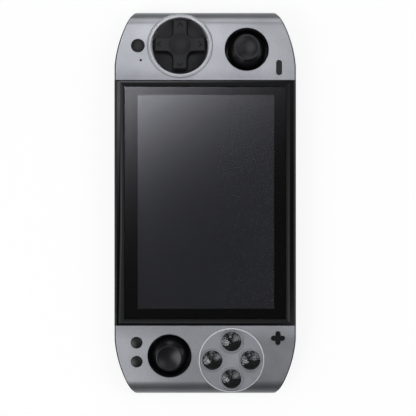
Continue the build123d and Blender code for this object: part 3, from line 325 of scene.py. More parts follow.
FINISH_OF_SLOT: dict[str, Finish] = {
    "housing_plastic": MOULDED_ABS, "cover_plastic": MOULDED_ABS, "shoulder_plastic": MOULDED_ABS,
    "panel_metal": BEAD_BLASTED_ALUMINIUM, "bezel_black": POLISHED_PMMA,
    "screen_glass": HARDENED_GLASS, "foam": CLOSED_CELL_FOAM, "display": POLARISER_FILM,
    "clear_plastic": MILKY_ACRYLIC, "button_black": CORE_ABS,
    "pad_black": PAD_ABS, "button_grey": SATIN_ABS,
    "stick_rubber": SILICONE_RUBBER, "contact_rubber": CONTACT_SILICONE,
    "board": SOLDER_MASK, "switch_plastic": GLASS_FILLED_NYLON,
    "gimbal_plastic": WHITE_ACETAL, "steel": NICKELLED_STEEL,
    "battery_wrap": BATTERY_WRAP, "cable": POLYIMIDE_FILM,
}

# The nodes whose finish isn't the usual one of their slot.
FINISH_OF_NODE: dict[str, Finish] = {"volume_down_key": KEY_ABS, "volume_up_key": KEY_ABS}

# Width, in millimetres, of the chamfers that catch the light on the pieces that keep their CAD shape.
EDGE_WIDTH: dict[str, float] = {
    "panel_left": 0.1, "panel_right": 0.1, "power_slider": 0.1,
    "front_housing": 0.12, "screen_bezel": 0.12, "cover_glass": 0.12,
    "action_disc": 0.15, "volume_down_key": 0.15, "volume_up_key": 0.15,
    "stick_well_left": 0.15, "stick_well_right": 0.15,
    "rear_cover": 0.25, "battery": 0.3,
    "shoulder_left": 0.35, "shoulder_right": 0.35,
    "escape_button": 0.38, "select_button": 0.38, "start_button": 0.38,
}


# ---- places and meshes ----


class End(Enum):
    """The two sloping ends, as the frame names their pieces."""

    LEFT = "left"
    RIGHT = "right"


class Push(Enum):
    """The four action buttons, as the frame names them when the console is held."""

    RIGHT = "right"
    UP = "up"
    LEFT = "left"
    DOWN = "down"


@dataclass(frozen=True)
class Body:
    """The sizes of the console's body that places on the ends follow from."""

    height: float = 17.0
    wing_start: float = 68.75
    bend_length: float = 5.25
    tilt: float = math.radians(7.0)

    @property
    def wing_top(self) -> float:
        """Height of the surface where the bend ends and the flat slope starts."""
        bend_radius = self.bend_length / math.sin(self.tilt)
        return self.height - bend_radius * (1 - math.cos(self.tilt))

    def frame(self, x: float, y: float) -> np.ndarray:
        """Place square to a sloping end.

        Args:
            x: Place along the length, whose sign picks the end.
            y: Place across the width.

        Returns:
            A 4 by 3 array: origin on the surface, slope direction, Y direction and outward normal, in millimetres.
        """
        side = math.copysign(1.0, x)
        normal = np.array([side * math.sin(self.tilt), 0.0, math.cos(self.tilt)])
        along = np.array([normal[2], 0.0, -normal[0]])
        surface = self.wing_top - (abs(x) - self.wing_start) * math.tan(self.tilt)
        return np.array([[x, y, surface], along, [0.0, 1.0, 0.0], normal])


BODY = Body()


def set_on(frame: np.ndarray, local: np.ndarray) -> np.ndarray:
    """Carries points of a local frame to the console's frame: origin plus each coordinate times its direction."""
    return frame[0] + local @ frame[1:]


def rounded(points: Sequence[Pair], radii: Sequence[float]) -> np.ndarray:
    """Rounds the corners of an open profile.

    At each inner corner the arc is drawn as a quadratic curve between the two points that lie the setback away from
    the corner, where the setback is the radius held under half of each neighbouring run.

    Args:
        points: Radius and height of each corner.
        radii: Rounding of each corner; the first and the last are left sharp.

    Returns:
        The rounded profile as an array of radius and height.
    """
    corners = np.array(points, float)
    pieces = [corners[:1]]
    share = np.linspace(0, 1, ARC_STEPS)[:, None]
    for before, corner, after, radius in zip(corners, corners[1:], corners[2:], radii[1:]):
        into, out = before - corner, after - corner
        before_run, after_run = np.linalg.norm(into), np.linalg.norm(out)
        setback = min(radius, 0.48 * min(before_run, after_run))
        if setback <= 0:
            pieces.append(corner[None])
            continue
        start, end = corner + into / before_run * setback, corner + out / after_run * setback
        pieces.append((1 - share) ** 2 * start + 2 * share * (1 - share) * corner + share**2 * end)
    pieces.append(corners[-1:])
    return np.concatenate(pieces)


def arc(start: Pair, end: Pair, centre_height: float, steps: int) -> np.ndarray:
    """Circular run of a profile about a centre on the axis.

    Args:
        start: First radius and height.
        end: Last radius and height, as far from the centre as the first.
        centre_height: Height of the centre, whose radius is zero.
        steps: Number of points.

    Returns:
        Points at equal angles between the two.
    """
    reach = math.hypot(start[0], start[1] - centre_height)
    first, last = (math.atan2(radius, height - centre_height) for radius, height in (start, end))
    angle = np.linspace(first, last, steps)
    return np.column_stack([reach * np.sin(angle), centre_height + reach * np.cos(angle)])


def grid_faces(rows: int, columns: int) -> np.ndarray:
    """Quads of a grid that is closed round its columns.

    Args:
        rows: Number of rows.
        columns: Number of points round.

    Returns:
        Point numbers of each quad, with the outside on the left of each row's run.
    """
    row, column = np.meshgrid(np.arange(rows - 1), np.arange(columns), indexing="ij")
    after = (column + 1) % columns
    corner = row * columns
    quads = np.stack([corner + column, corner + columns + column, corner + columns + after, corner + after], -1)
    return quads.reshape(-1, 4)


def skin(rings: np.ndarray, poles: Pair | None = None) -> Shape:
    """Joins rings of points into a closed surface.

    Args:
        rings: Points as rows by steps round by three, in millimetres.
        poles: Heights on the axis where the first and the last row close, or none where the last row joins the first.

    Returns:
        Local vertices and faces.
    """
    rows, steps = rings.shape[:2]
    if poles is None:
        faces = grid_faces(rows + 1, steps) % (rows * steps)
        return rings.reshape(-1, 3), faces.tolist()
    count, first = rows * steps, np.arange(steps)
    after, last = (first + 1) % steps, count - steps
    peak = np.stack([np.full(steps, count), first, after], -1).tolist()
    base = np.stack([np.full(steps, count + 1), last + after, last + first], -1).tolist()
    ends = [[0.0, 0.0, pole] for pole in poles]
    return np.concatenate([rings.reshape(-1, 3), ends]), grid_faces(rows, steps).tolist() + peak + base


def swept(profile: np.ndarray, segments: int) -> np.ndarray:
    """Carries each profile point (r, h) round the axis as (r cos a, r sin a, h), at equal steps of a.

    Args:
        profile: Radius and height of each point.
        segments: Number of steps round.

    Returns:
        Points as rows by steps round by three.
    """
    angle = np.linspace(0, 2 * math.pi, segments, endpoint=False)
    x, y = profile[:, :1] * np.cos(angle), profile[:, :1] * np.sin(angle)
    return np.stack([x, y, np.broadcast_to(profile[:, 1:], x.shape)], -1)


def turned(profile: np.ndarray, segments: int) -> Shape:
    """Turns a profile whose first and last points lie on the axis.

    Args:
        profile: Radius and height of each point, from the top of the axis round to its foot.
        segments: Number of steps round.

    Returns:
        Local vertices in millimetres, and faces.
    """
    return skin(swept(profile[1:-1], segments), (float(profile[0, 1]), float(profile[-1, 1])))


def hoop(profile: np.ndarray, segments: int) -> Shape:
    """Turns a closed profile that stays off the axis, given clockwise seen with the axis on the left."""
    return skin(swept(profile, segments))


@dataclass
class Console:
    """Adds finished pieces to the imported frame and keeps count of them."""

    frame: Mapping[str, Any]
    made: list[str] = field(default_factory=list)

    def slot_of(self, node: str) -> str:
        """The record's material slot of a CAD node."""
        return next(row["material_slot"] for row in self.frame["record"]["subparts"] if row["node"] == node)

    def body_of(self, node: str) -> str:
        """The body that a CAD node belongs to."""
        bodies = self.frame["record"]["behaviour"]["bodies"]
        return next(name for name, members in bodies.items() if node in members)

    def add(
        self,
        name: str,
        vertices: np.ndarray,
        faces: list[list[int]],
        node: str,
        replaces: bool = True,
        finish: Finish | None = None,
        sharp_angle: float = 40.0,
    ) -> None:
        """Makes a piece from points in millimetres and hangs it on the body of a CAD node.

        Args:
            name: The piece's name.
            vertices: Points in the console's frame, in millimetres.
            faces: Vertex numbers of each face, anticlockwise from outside.
            node: The CAD node whose body and slot the piece takes.
            replaces: Whether the piece stands for that node.
            finish: The piece's finish, or none for the one of the node's slot.
            sharp_angle: Edges that turn by more than this many degrees stay sharp.
        """
        mesh = bpy.data.meshes.new(name)
        mesh.from_pydata((vertices * MM).tolist(), [], faces)
        mesh.polygons.foreach_set("use_smooth", [True] * len(mesh.polygons))
        mesh.update()
        mesh.set_sharp_from_angle(angle=math.radians(sharp_angle))
        piece = add_object(name, mesh)
        mesh.materials.append((finish or FINISH_OF_SLOT[self.slot_of(node)]).material())
        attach(piece, self.body_of(node))
        if replaces:
            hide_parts(node)
        self.made.append(name)

    def add_at(self, name: str, shape: Shape, spot: Pair, node: str, **options: Any) -> None:
        """Adds a shape, given square to a sloping end, at a spot (x, y) on it; the rest is as for add."""
        self.add(name, set_on(BODY.frame(*spot), shape[0]), shape[1], node, **options)

    def dress_nodes(self) -> None:
        """Gives every CAD node its finish, and merges, chamfers and smooths it as it is drawn."""
        for name, node in self.frame["nodes"].items():
            node.data.materials.clear()
            finish = FINISH_OF_NODE.get(name) or FINISH_OF_SLOT[self.slot_of(name)]
            node.data.materials.append(finish.material())
            node.data.polygons.foreach_set("use_smooth", [True] * len(node.data.polygons))
            node.modifiers.new("merge_facets", "WELD").merge_threshold = MERGE_DISTANCE
            if name in EDGE_WIDTH:
                bevel = node.modifiers.new("rounded_edges", "BEVEL")
                bevel.limit_method, bevel.angle_limit = "ANGLE", BEVEL_ANGLE
                bevel.width, bevel.segments, bevel.harden_normals = EDGE_WIDTH[name] * MM, 1, True
            node.modifiers.new("sharp_edges", "EDGE_SPLIT").split_angle = SMOOTH_ANGLE
            node.modifiers.new("even_normals", "WEIGHTED_NORMAL").keep_sharp = True


# ---- the pieces ----


@dataclass(frozen=True)
class DirectionPad:
    """The direction pad: a dished disc with a raised cross, a round hollow in the hub and carved arrows."""

    spot: Pair = (-78.6, -12.6)
    disc_radius: float = 13.95
    rim_ease: float = 0.28
    disc_height: float = 0.2
    disc_dish: float = 1.25
    underside: float = 1.4
    reach: float = 12.7
    tip_half_width: float = 3.7
    hub_half_width: float = 4.0
    tip_corner: float = 0.6
    hub_corner: float = 1.7
    rise: float = 2.6
    draft: float = 0.27
    edge_radius: float = 0.55
    hub_radius: float = 5.4
    hub_depth: float = 0.62
    hub_lip: float = 0.35
    lip_height: float = 0.06
    fillet: float = 0.14
    arrow_at: float = 10.4
    arrow_size: float = 1.05
    arrow_stroke: float = 0.22
    arrow_depth: float = 0.26
    plug_radius: float = 11.0
    plug_depth: float = 6.3
    flange_radius: float = 12.6
    foot_depth: float = 7.1
    socket: tuple[Pair, ...] = ((1.85, 0.0), (1.3, 1.4), (0.0, 1.95))  # the ball's, over the foot
    steps: tuple[int, int, int, int] = (14, 52, 8, 12)  # rings of the hub, arms, edge and disc
    segments: int = 600

    def inside_cross(self, x: np.ndarray, y: np.ndarray) -> np.ndarray:
        """Distance in from the cross's outline at its foot.

        Each arm is the space between two lines that close in from the hub to the tip, cut at the reach, and a smooth
        minimum rounds its tip. A smooth maximum joins the two arms and rounds the inner corners.

        Args:
            x, y: Places along and across the slope.

        Returns:
            The distances, negative outside.
        """

        def arm(along: np.ndarray, across: np.ndarray) -> np.ndarray:
            """Distance in from the outline of the arms that lie along one axis."""
            width = self.hub_half_width + (self.tip_half_width - self.hub_half_width) * np.abs(along) / self.reach
            side = width - np.abs(across)
            end = self.reach - np.abs(along)
            both = np.clip(2 * self.tip_corner - np.abs(side - end), 0, None)
            return np.minimum(side, end) - both**2 / (8 * self.tip_corner)

        first, second = arm(x, y), arm(y, x)
        near = np.clip(2 * self.hub_corner - np.abs(first - second), 0, None)
        return np.maximum(first, second) + near**2 / (8 * self.hub_corner)

    def outline(self, inset: float, angle: np.ndarray) -> np.ndarray:
        """Finds the curve that lies a distance in from the outline.

        Every ray from the centre crosses the curve once, so halving the span between the centre and the rim thirty
        times finds the crossing.

        Args:
            inset: The distance in from the outline.
            angle: Directions of the rays.

        Returns:
            The curve's radius at each angle.
        """
        low, high = np.full_like(angle, 4.0), np.full_like(angle, self.disc_radius)
        for _ in range(30):
            middle = (low + high) / 2
            within = self.inside_cross(middle * np.cos(angle), middle * np.sin(angle)) > inset
            low, high = np.where(within, middle, low), np.where(within, high, middle)
        return (low + high) / 2

    def arrows(self, x: np.ndarray, y: np.ndarray) -> np.ndarray:
        """Carves four arrow heads that point outwards.

        A point is folded onto one arm by taking its larger coordinate as the run along it. The head is the line where
        the run falls by as much as the point lies aside.

        Args:
            x, y: Places along and across the slope.

        Returns:
            Share of the carving's depth, one inside the strokes.
        """
        run = np.maximum(np.abs(x), np.abs(y))
        aside = np.minimum(np.abs(x), np.abs(y))
        away = np.abs(run + aside - self.arrow_at - self.arrow_size / 2) / math.sqrt(2)
        past = np.clip(aside - self.arrow_size, 0, None)
        return np.clip(1.6 - np.hypot(away, past) / self.arrow_stroke, 0, 1)

    def quadrant(self, radius: np.ndarray) -> np.ndarray:
        """Height of the disc between the arms: level at the rim and sinking towards the middle by a fourth power."""
        return self.disc_height - self.disc_dish * (1 - (radius / (self.disc_radius - self.rim_ease)) ** 4)

    def top_rings(self, angle: np.ndarray) -> np.ndarray:
        """Works out the top.

        The hub's hollow is a spherical dish with a soft lip. From the lip to the cross's edge the rings blend from a
        circle to the outline. Round the edge they follow a quarter circle, then the drafted wall down to the disc,
        and from there they blend from the outline to the round rim.

        Args:
            angle: Angles of the points round a ring.

        Returns:
            Rings of points, from the hub outwards.
        """
        crest = self.disc_height + self.rise
        hub_steps, arm_steps, edge_steps, disc_steps = self.steps
        rings = []
        for share in np.linspace(0.06, 1, hub_steps):
            radius = np.full_like(angle, self.hub_radius * share)
            rings.append((radius, crest - self.hub_depth * (1 - share**2)))
        edge = self.outline(self.draft + self.edge_radius, angle)
        lip = self.hub_radius + self.hub_lip
        for share in np.linspace(0, 1, arm_steps):
            radius = lip + np.maximum(edge - lip, 0.02) * share
            x, y = radius * np.cos(angle), radius * np.sin(angle)
            rings.append((radius, crest + self.lip_height * (1 - share) ** 6 - self.arrow_depth * self.arrows(x, y)))
        for turn in np.linspace(0.12, 1, edge_steps) * math.pi / 2:
            inset = self.draft + self.edge_radius * (1 - math.sin(turn))
            rings.append((self.outline(inset, angle), crest - self.edge_radius * (1 - math.cos(turn))))
        foot = self.outline(0.0, angle)
        wall_top = crest - self.edge_radius
        for share in (0.5, 0.9):
            level = wall_top + (self.quadrant(foot) + 0.1 - wall_top) * share
            rings.append((self.outline(self.draft * (1 - share), angle), level))
        fillet = self.outline(-self.fillet, angle)
        rings.append((fillet, self.quadrant(fillet)))
        rim = self.disc_radius - self.rim_ease
        for share in np.linspace(0, 1, disc_steps)[1:]:
            radius = fillet + (rim - fillet) * share
            rings.append((radius, self.quadrant(radius)))
        radii, levels = (np.stack([np.broadcast_to(values, angle.shape) for values in rows]) for rows in zip(*rings))
        return np.stack([radii * np.cos(angle), radii * np.sin(angle), levels], -1)

    def build(self, console: Console) -> None:
        """Makes the pad: the rings of its top, then those of its side, plug and flange."""
        angle = np.linspace(0, 2 * math.pi, self.segments, endpoint=False)
        side, foot = self.disc_radius, self.foot_depth
        corners = [
            (side - self.rim_ease, self.disc_height), (side, self.disc_height - 0.3), (side, -self.underside),
            (self.plug_radius, -self.underside), (self.plug_radius, -self.plug_depth),
            (self.flange_radius, -self.plug_depth), (self.flange_radius, -foot),
            *((radius, height - foot) for radius, height in self.socket),
        ]
        below = rounded(corners, [0, 0.2, 0.15, 0.1, 0.1, 0.1, 0.1, 0, 0, 0])
        rings = np.concatenate([self.top_rings(angle), swept(below[1:-1], self.segments)])
        crest = self.disc_height + self.rise
        shape = skin(rings, (crest - self.hub_depth, float(below[-1, 1])))
        console.add_at("direction_pad", shape, self.spot, "dpad_cap", sharp_angle=50)


@dataclass(frozen=True)
class ClearRing:
    """The clear ring round the direction pad: a polished body with a frosted band along its inner edge."""

    spot: Pair = (-78.6, -12.6)
    outer: float = 16.4
    inner: float = 14.55
    band: float = 15.35
    top: float = 0.6
    chamfer: float = 0.4
    band_slope: float = 0.45
    foot: float = 2.6
    seam: float = 0.01
    segments: int = 240

    def build(self, console: Console) -> None:
        """Makes the band and the body round it."""
        corners = [
            (self.inner, -1.0), (self.inner, self.top - self.band_slope), (self.band, self.top),
            (self.band, -self.foot), (self.inner, -self.foot), (self.inner, -1.0),
        ]
        band = rounded(corners, [0, 0.2, 0.1, 0.05, 0.1, 0])[:-1]
        start = self.band + self.seam
        corners = [
            (start, -1.0), (start, self.top), (self.outer - self.chamfer, self.top),
            (self.outer, self.top - self.chamfer), (self.outer, -self.foot), (start, -self.foot), (start, -1.0),
        ]
        body = rounded(corners, [0, 0.05, 0.15, 0.15, 0.1, 0.05, 0])[:-1]
        for name, profile, finish in (("ring_band", band, FROSTED_ACRYLIC_AND_HIGHLIGHT), ("clear_ring", body, OPAL_ACRYLIC)):
            shape = hoop(profile, self.segments)
            console.add_at(name, shape, self.spot, "dpad_ring", finish=finish, sharp_angle=30)


@dataclass(frozen=True)
class PaintedEdgeHighlight:
    """A painted highlight on the chamfer of a clear plate: a thin whitish skin on the plate's edge that stands for
    the line of light along it.
    """

    name: str
    node: str
    spot: Pair
    outer: float = 16.41
    top: float = 0.6
    chamfer: float = 0.4
    skin_depth: float = 0.1
    lift: float = 0.01
    side: float = 0.5
    segments: int = 240

    def build(self, console: Console) -> None:
        """Makes the skin: its outside lies a lift off the plate's chamfer, and its inside a skin's depth below."""
        crest, shoulder = self.outer - self.chamfer, self.top - self.chamfer
        inner, depth = self.outer - self.skin_depth, self.skin_depth
        corners = [
            (crest - depth, self.top + self.lift), (crest, self.top + self.lift), (self.outer, shoulder + self.lift),
            (self.outer, shoulder - self.side), (inner, shoulder - self.side), (inner, shoulder),
            (crest - depth, self.top - depth),
        ]
        shape = hoop(np.array(corners), self.segments)
        # The whitish skin paints the highlight along the plate's edge.
        console.add_at(self.name, shape, self.spot, self.node, replaces=False, finish=FROSTED_ACRYLIC_AND_HIGHLIGHT, sharp_angle=30)


@dataclass(frozen=True)
class MicrophoneGauzeAndShade:
    """The acoustic gauze that lines the microphone hole in the left panel: a shallow black dish, whose dead black
    also paints the shade inside the hole.
    """

    spot: Pair = (-71.2, -32.15)
    radius: float = 0.585
    sag: float = 0.06
    depth: float = 0.03
    thickness: float = 0.12
    segments: int = 48

    def build(self, console: Console) -> None:
        """Makes the dish: its depth below the rim is the sag times one less the square of the share of the radius."""
        share = np.linspace(0, 1, 7)
        top = np.stack([self.radius * share, -self.depth - self.sag * (1 - share**2)], 1)
        under = np.stack([self.radius * share[::-1], top[::-1, 1] - self.thickness], 1)
        shape = turned(np.concatenate([top, under]), self.segments)
        # A dead-black dish: the gauze, and painted shade in the hole.
        console.add_at("microphone_gauze_and_painted_shade", shape, self.spot, "panel_left", replaces=False, finish=GAUZE_AND_PAINTED_SHADE)


@dataclass(frozen=True)
class ThumbStick:
    """A rubber stick cap: a domed skirt, a neck, and a rimmed and hollowed thumb rest."""

    end: End
    spot: Pair
    pivot_depth: float = 6.5
    dome: float = 9.9
    skirt: float = 9.4
    wall: float = 0.9
    neck: float = 5.2
    cap: float = 6.7
    cap_underside: float = 9.0
    cap_top: float = 10.8
    hollow: float = 5.75
    hollow_depth: float = 0.9
    rim_drop: float = 0.04
    boss: float = 3.0
    boss_foot: float = 6.0
    bore: float = 1.63
    bore_roof: float = 9.3
    segments: int = 128

    def profile(self) -> np.ndarray:
        """Profile over the pivot: the thumb rest, neck, outer dome, inner dome and boss."""
        ball = (self.hollow**2 + self.hollow_depth**2) / (2 * self.hollow_depth)
        radius = np.linspace(0, self.hollow, 16)
        dish = self.cap_top - self.hollow_depth + ball - np.sqrt(ball**2 - radius**2)
        rest = np.column_stack([radius, dish])
        neck_height = math.sqrt(self.dome**2 - self.neck**2)
        corners = [
            tuple(rest[-1]), (self.cap, self.cap_top - self.rim_drop), (self.cap, self.cap_underside + 0.25),
            (self.neck + 0.5, self.cap_underside - 0.25), (self.neck, neck_height),
        ]
        rim = rounded(corners, [0, 0.75, 0.45, 0.3, 0])
        skirt_height = math.sqrt(self.dome**2 - self.skirt**2)
        outer = arc((self.neck, neck_height), (self.skirt, skirt_height), 0.0, 22)
        inside = self.dome - self.wall
        share = inside / self.dome
        boss_height = math.sqrt(inside**2 - self.boss**2)
        inner = arc((self.skirt * share, skirt_height * share), (self.boss, boss_height), 0.0, 14)
        foot, roof = self.boss_foot, self.bore_roof
        boss = np.array([[self.boss, foot], [self.bore, foot], [self.bore, roof], [0.0, roof]])
        return np.concatenate([rest, rim[1:], outer[1:], inner, boss])

    def build(self, console: Console) -> None:
        """Makes the cap at its place on the sloping end."""
        vertices, faces = turned(self.profile(), self.segments)
        vertices[:, 2] -= self.pivot_depth
        name = self.end.value
        console.add_at(f"thumb_rest_{name}", (vertices, faces), self.spot, f"stick_cap_{name}")


@dataclass(frozen=True)
class DomedButton:
    """An action button: a matt dark core under a clear domed cap with a collar."""

    push: Push
    spot: Pair
    core_radius: float = 4.55
    core_shoulder: float = -0.3
    hollow_radius: float = 4.6
    hollow_shoulder: float = -0.25
    inner_rise: float = 1.3
    cap_radius: float = 5.0
    cap_shoulder: float = 0.55
    cap_rise: float = 2.04
    collar_inner: float = 5.05
    collar_outer: float = 5.8
    collar_top: float = 0.5
    foot: float = -1.3
    stem_radius: float = 3.0
    flange: tuple[float, float, float] = (3.7, -5.35, -6.15)  # radius, top and foot
    nub: Pair = (1.6, -6.55)  # radius and foot
    segments: int = 96

    @staticmethod
    def dome(radius: float, shoulder: float, rise: float, steps: int) -> np.ndarray:
        """Profile of a spherical dome from its top to its shoulder: a circle through both, centred on the axis."""
        ball = (radius**2 + rise**2) / (2 * rise)
        return arc((0.0, shoulder + rise), (radius, shoulder), shoulder + rise - ball, steps)

    def core(self) -> np.ndarray:
        """Profile of the core: its dome, skirt, stem and flange."""
        flange, top, under = self.flange
        corners = [
            (self.core_radius, self.core_shoulder), (self.core_radius, self.foot), (self.stem_radius, self.foot),
            (self.stem_radius, top), (flange, top), (flange, under), (self.nub[0], under), self.nub,
            (0.0, self.nub[1]),
        ]
        stem = rounded(corners, [0, 0.15, 0.1, 0.05, 0.15, 0.15, 0.1, 0.15, 0])
        return np.concatenate([self.dome(self.core_radius, self.core_shoulder, self.inner_rise, 16), stem[1:]])

    def cap(self) -> np.ndarray:
        """Profile of the cap: its dome, its wall and the hollow over the core."""
        corners = [
            (self.cap_radius, self.cap_shoulder), (self.cap_radius, self.foot), (self.hollow_radius, self.foot),
            (self.hollow_radius, self.hollow_shoulder),
        ]
        wall = rounded(corners, [0, 0.1, 0.1, 0])
        outside = self.dome(self.cap_radius, self.cap_shoulder, self.cap_rise, 20)
        inside = self.dome(self.hollow_radius, self.hollow_shoulder, self.inner_rise, 16)
        return np.concatenate([outside, wall[1:-1], inside[::-1]])

    def collar(self) -> np.ndarray:
        """Closed profile of the collar round the cap."""
        start = (self.collar_inner, -0.5)
        corners = [
            start, (self.collar_inner, self.collar_top), (self.collar_outer, self.collar_top),
            (self.collar_outer, self.foot), (self.collar_inner, self.foot), start,
        ]
        return rounded(corners, [0, 0.1, 0.15, 0.15, 0.1, 0])[:-1]

    def build(self, console: Console) -> None:
        """Makes the core, the cap and the collar."""
        name, spot = self.push.value, self.spot
        node = f"action_cap_{name}"
        console.add_at(f"core_{name}", turned(self.core(), self.segments), spot, f"action_core_{name}")
        console.add_at(f"clear_cap_{name}", turned(self.cap(), self.segments), spot, node, finish=CLEAR_ACRYLIC)
        console.add_at(f"cap_collar_{name}", hoop(self.collar(), self.segments), spot, node)


DOMED_BUTTONS = (
    DomedButton(Push.RIGHT, (88.1, 13.1)),
    DomedButton(Push.UP, (78.6, 22.6)),
    DomedButton(Push.LEFT, (69.1, 13.1)),
    DomedButton(Push.DOWN, (78.6, 3.6)),
)


def eased_block(centre: Sequence[float], size: Sequence[float], steps: int = 28) -> Shape:
    """Block with eased edges, as a superquadric.

    A point is (a c(u) c(v), b s(u) c(v), h s(v)), where c and s are the eased cosine and sine, and a, b and h are the
    half sizes. The points start a little off the corners.

    Args:
        centre: Middle of the block, in millimetres.
        size: Full sizes along X, Y and Z.
        steps: Steps round the block.

    Returns:
        Vertices in the console's frame, and faces.
    """

    def eased(value: np.ndarray) -> np.ndarray:
        """The sixth root, with the value's sign."""
        return np.sign(value) * np.abs(value) ** (1 / 6)

    turn = np.linspace(0, 2 * math.pi, steps, endpoint=False) + 0.05
    lean = np.linspace(math.pi / 2, -math.pi / 2, steps // 2 + 1)[1:-1, None]
    across = eased(np.cos(lean))
    x, y = eased(np.cos(turn)) * across, eased(np.sin(turn)) * across
    rings = np.stack([x, y, np.broadcast_to(eased(np.sin(lean)), x.shape)], -1)
    vertices, faces = skin(rings, (1.0, -1.0))
    return vertices * np.array(size) / 2 + np.array(centre), faces


@dataclass(frozen=True)
class CaseScrews:
    """The eight countersunk case screws, whose cross recesses show in the back."""

    places: tuple[Pair, ...] = (
        (60.5, 41.0), (60.5, -41.0), (-60.5, 41.0), (-60.5, -41.0),
        (88.5, 30.0), (88.5, -32.0), (-88.5, 30.0), (-88.5, -32.0),
    )
    head_radius: float = 1.8
    head_foot: float = 1.2
    head_ease: float = 0.12
    seat: float = 2.4
    shaft_radius: float = 0.95
    tip: float = 9.0
    arm: float = 1.05
    arm_half_width: float = 0.24
    recess: float = 0.75
    segments: int = 96

    def build(self, console: Console) -> None:
        """Makes all the screws as one piece.

        The head's face is a height over (r, a): level, less a cross whose arms narrow and rise towards their ends.
        """
        angle = np.linspace(0, 2 * math.pi, self.segments, endpoint=False)
        radius = np.linspace(0.05, self.head_radius - self.head_ease, 22)[:, None]
        x, y = radius * np.cos(angle), radius * np.sin(angle)
        run, aside = np.maximum(np.abs(x), np.abs(y)), np.minimum(np.abs(x), np.abs(y))
        width = self.arm_half_width * (1.15 - 0.4 * run / self.arm)
        inside = np.clip((width - aside) / 0.1 + 0.5, 0, 1) * np.clip((self.arm - run) / 0.25 + 0.5, 0, 1)
        face = np.stack([x, y, self.head_foot + self.recess * inside * (1 - 0.5 * run / self.arm)], -1)
        corners = [
            (self.head_radius - self.head_ease, self.head_foot), (self.head_radius, self.head_foot + 0.15),
            (self.head_radius, self.seat), (self.shaft_radius, self.seat), (self.shaft_radius, self.tip),
            (0.0, self.tip),
        ]
        side = rounded(corners, [0, 0.08, 0.1, 0.05, 0.2, 0])
        rings = np.concatenate([face, swept(side[1:-1], self.segments)])[::-1]
        screw, faces = skin(rings, (self.tip, self.head_foot + self.recess))
        count = len(screw)
        faces = [[corner + count * turn for corner in row] for turn in range(len(self.places)) for row in faces]
        spots = np.pad(np.array(self.places), ((0, 0), (0, 1)))
        vertices = (spots[:, None] + screw[None]).reshape(-1, 3)
        console.add("case_screws_cross_head", vertices, faces, "case_screws", sharp_angle=50)


@dataclass(frozen=True)
class Socket:
    """A socket's tongue with its row of contacts."""

    node: str
    x: float
    z: float
    width: float
    thickness: float
    mouth: float
    depth: float
    contacts: int
    contact_share: Pair = (0.5, 0.8)  # of the pitch and of the tongue's depth
    contact_rise: float = 0.12

    def build(self, console: Console) -> None:
        """Makes the tongue and the contacts on its upper face."""
        middle = self.mouth + self.depth / 2
        vertices, faces = eased_block((self.x, middle, self.z), (self.width, self.depth, self.thickness))
        name = self.node.split("_")[0]
        console.add(f"{name}_tongue", vertices, faces, self.node, replaces=False, finish=GLASS_FILLED_NYLON)
        pitch = self.width / (self.contacts + 0.6)
        height = self.z + self.thickness / 2
        size = (pitch * self.contact_share[0], self.depth * self.contact_share[1], self.contact_rise)
        rows, faces = [], []
        for number in range(self.contacts):
            x = self.x + (number - (self.contacts - 1) / 2) * pitch
            strip, strip_faces = eased_block((x, middle - 0.1, height), size, 12)
            faces += [[corner + sum(map(len, rows)) for corner in row] for row in strip_faces]
            rows.append(strip)
        vertices = np.concatenate(rows)
        console.add(f"{name}_contacts", vertices, faces, self.node, replaces=False, finish=GOLD_PLATE)


SOCKETS = (
    Socket("usb_socket", 32.0, 9.5, 5.2, 0.7, -43.2, 3.0, 5),
    Socket("hdmi_socket", 14.0, 9.6, 7.6, 0.7, -43.2, 3.2, 9),
)


# ---- the studio ----


@dataclass(frozen=True)
class SoftBox:
    """A square soft box that faces the middle of the console; its place is in metres."""

    name: str
    x: float
    y: float
    z: float
    side: float
    radiance: float

    def build(self) -> None:
        """Hangs the box: its power is pi times its area times the light that its face shows."""
        lamp = bpy.data.lights.new(self.name, "AREA")
        lamp.shape = "SQUARE"
        lamp.size = self.side
        lamp.energy = math.pi * self.side**2 * self.radiance
        lamp.color = linear(BOX_COLOUR)[:3]
        box = add_object(self.name, lamp)
        box.location = (self.x, self.y, self.z)
        lean = math.atan2(math.hypot(self.x, self.y), self.z)
        box.rotation_euler = (lean, 0.0, math.atan2(self.y, self.x) + math.pi / 2)
        box.visible_camera = False


SOFT_BOXES = (
    SoftBox("over_right_end", 0.074, 0.275, 0.639, 0.35, 1.15),
    SoftBox("lower_left", 0.364, -0.364, 0.613, 0.4, 3.1),
    SoftBox("right", 0.0, 0.514, 0.613, 0.4, 1.77),
    SoftBox("over_left_end", -0.275, -0.074, 0.639, 0.28, 1.35),
    SoftBox("far_left_end", -0.706, 0.0, 0.376, 0.4, 1.15),
    SoftBox("upper_right", -0.364, 0.364, 0.613, 0.4, 0.696),
    SoftBox("left", 0.0, -0.514, 0.613, 0.4, 1.25),
    SoftBox("near_lower_left", 0.2, -0.16, 0.26, 0.12, 0.75),
    SoftBox("near_upper_left", -0.28, -0.05, 0.4, 0.16, 0.95),
    SoftBox("near_right", 0.0, 0.28, 0.3, 0.14, 0.2),
    SoftBox("low_lower_edge", 0.0, -0.9, 0.2, 0.5, 0.9),
    SoftBox("low_upper_edge", 0.0, 0.9, 0.2, 0.5, 0.9),
)


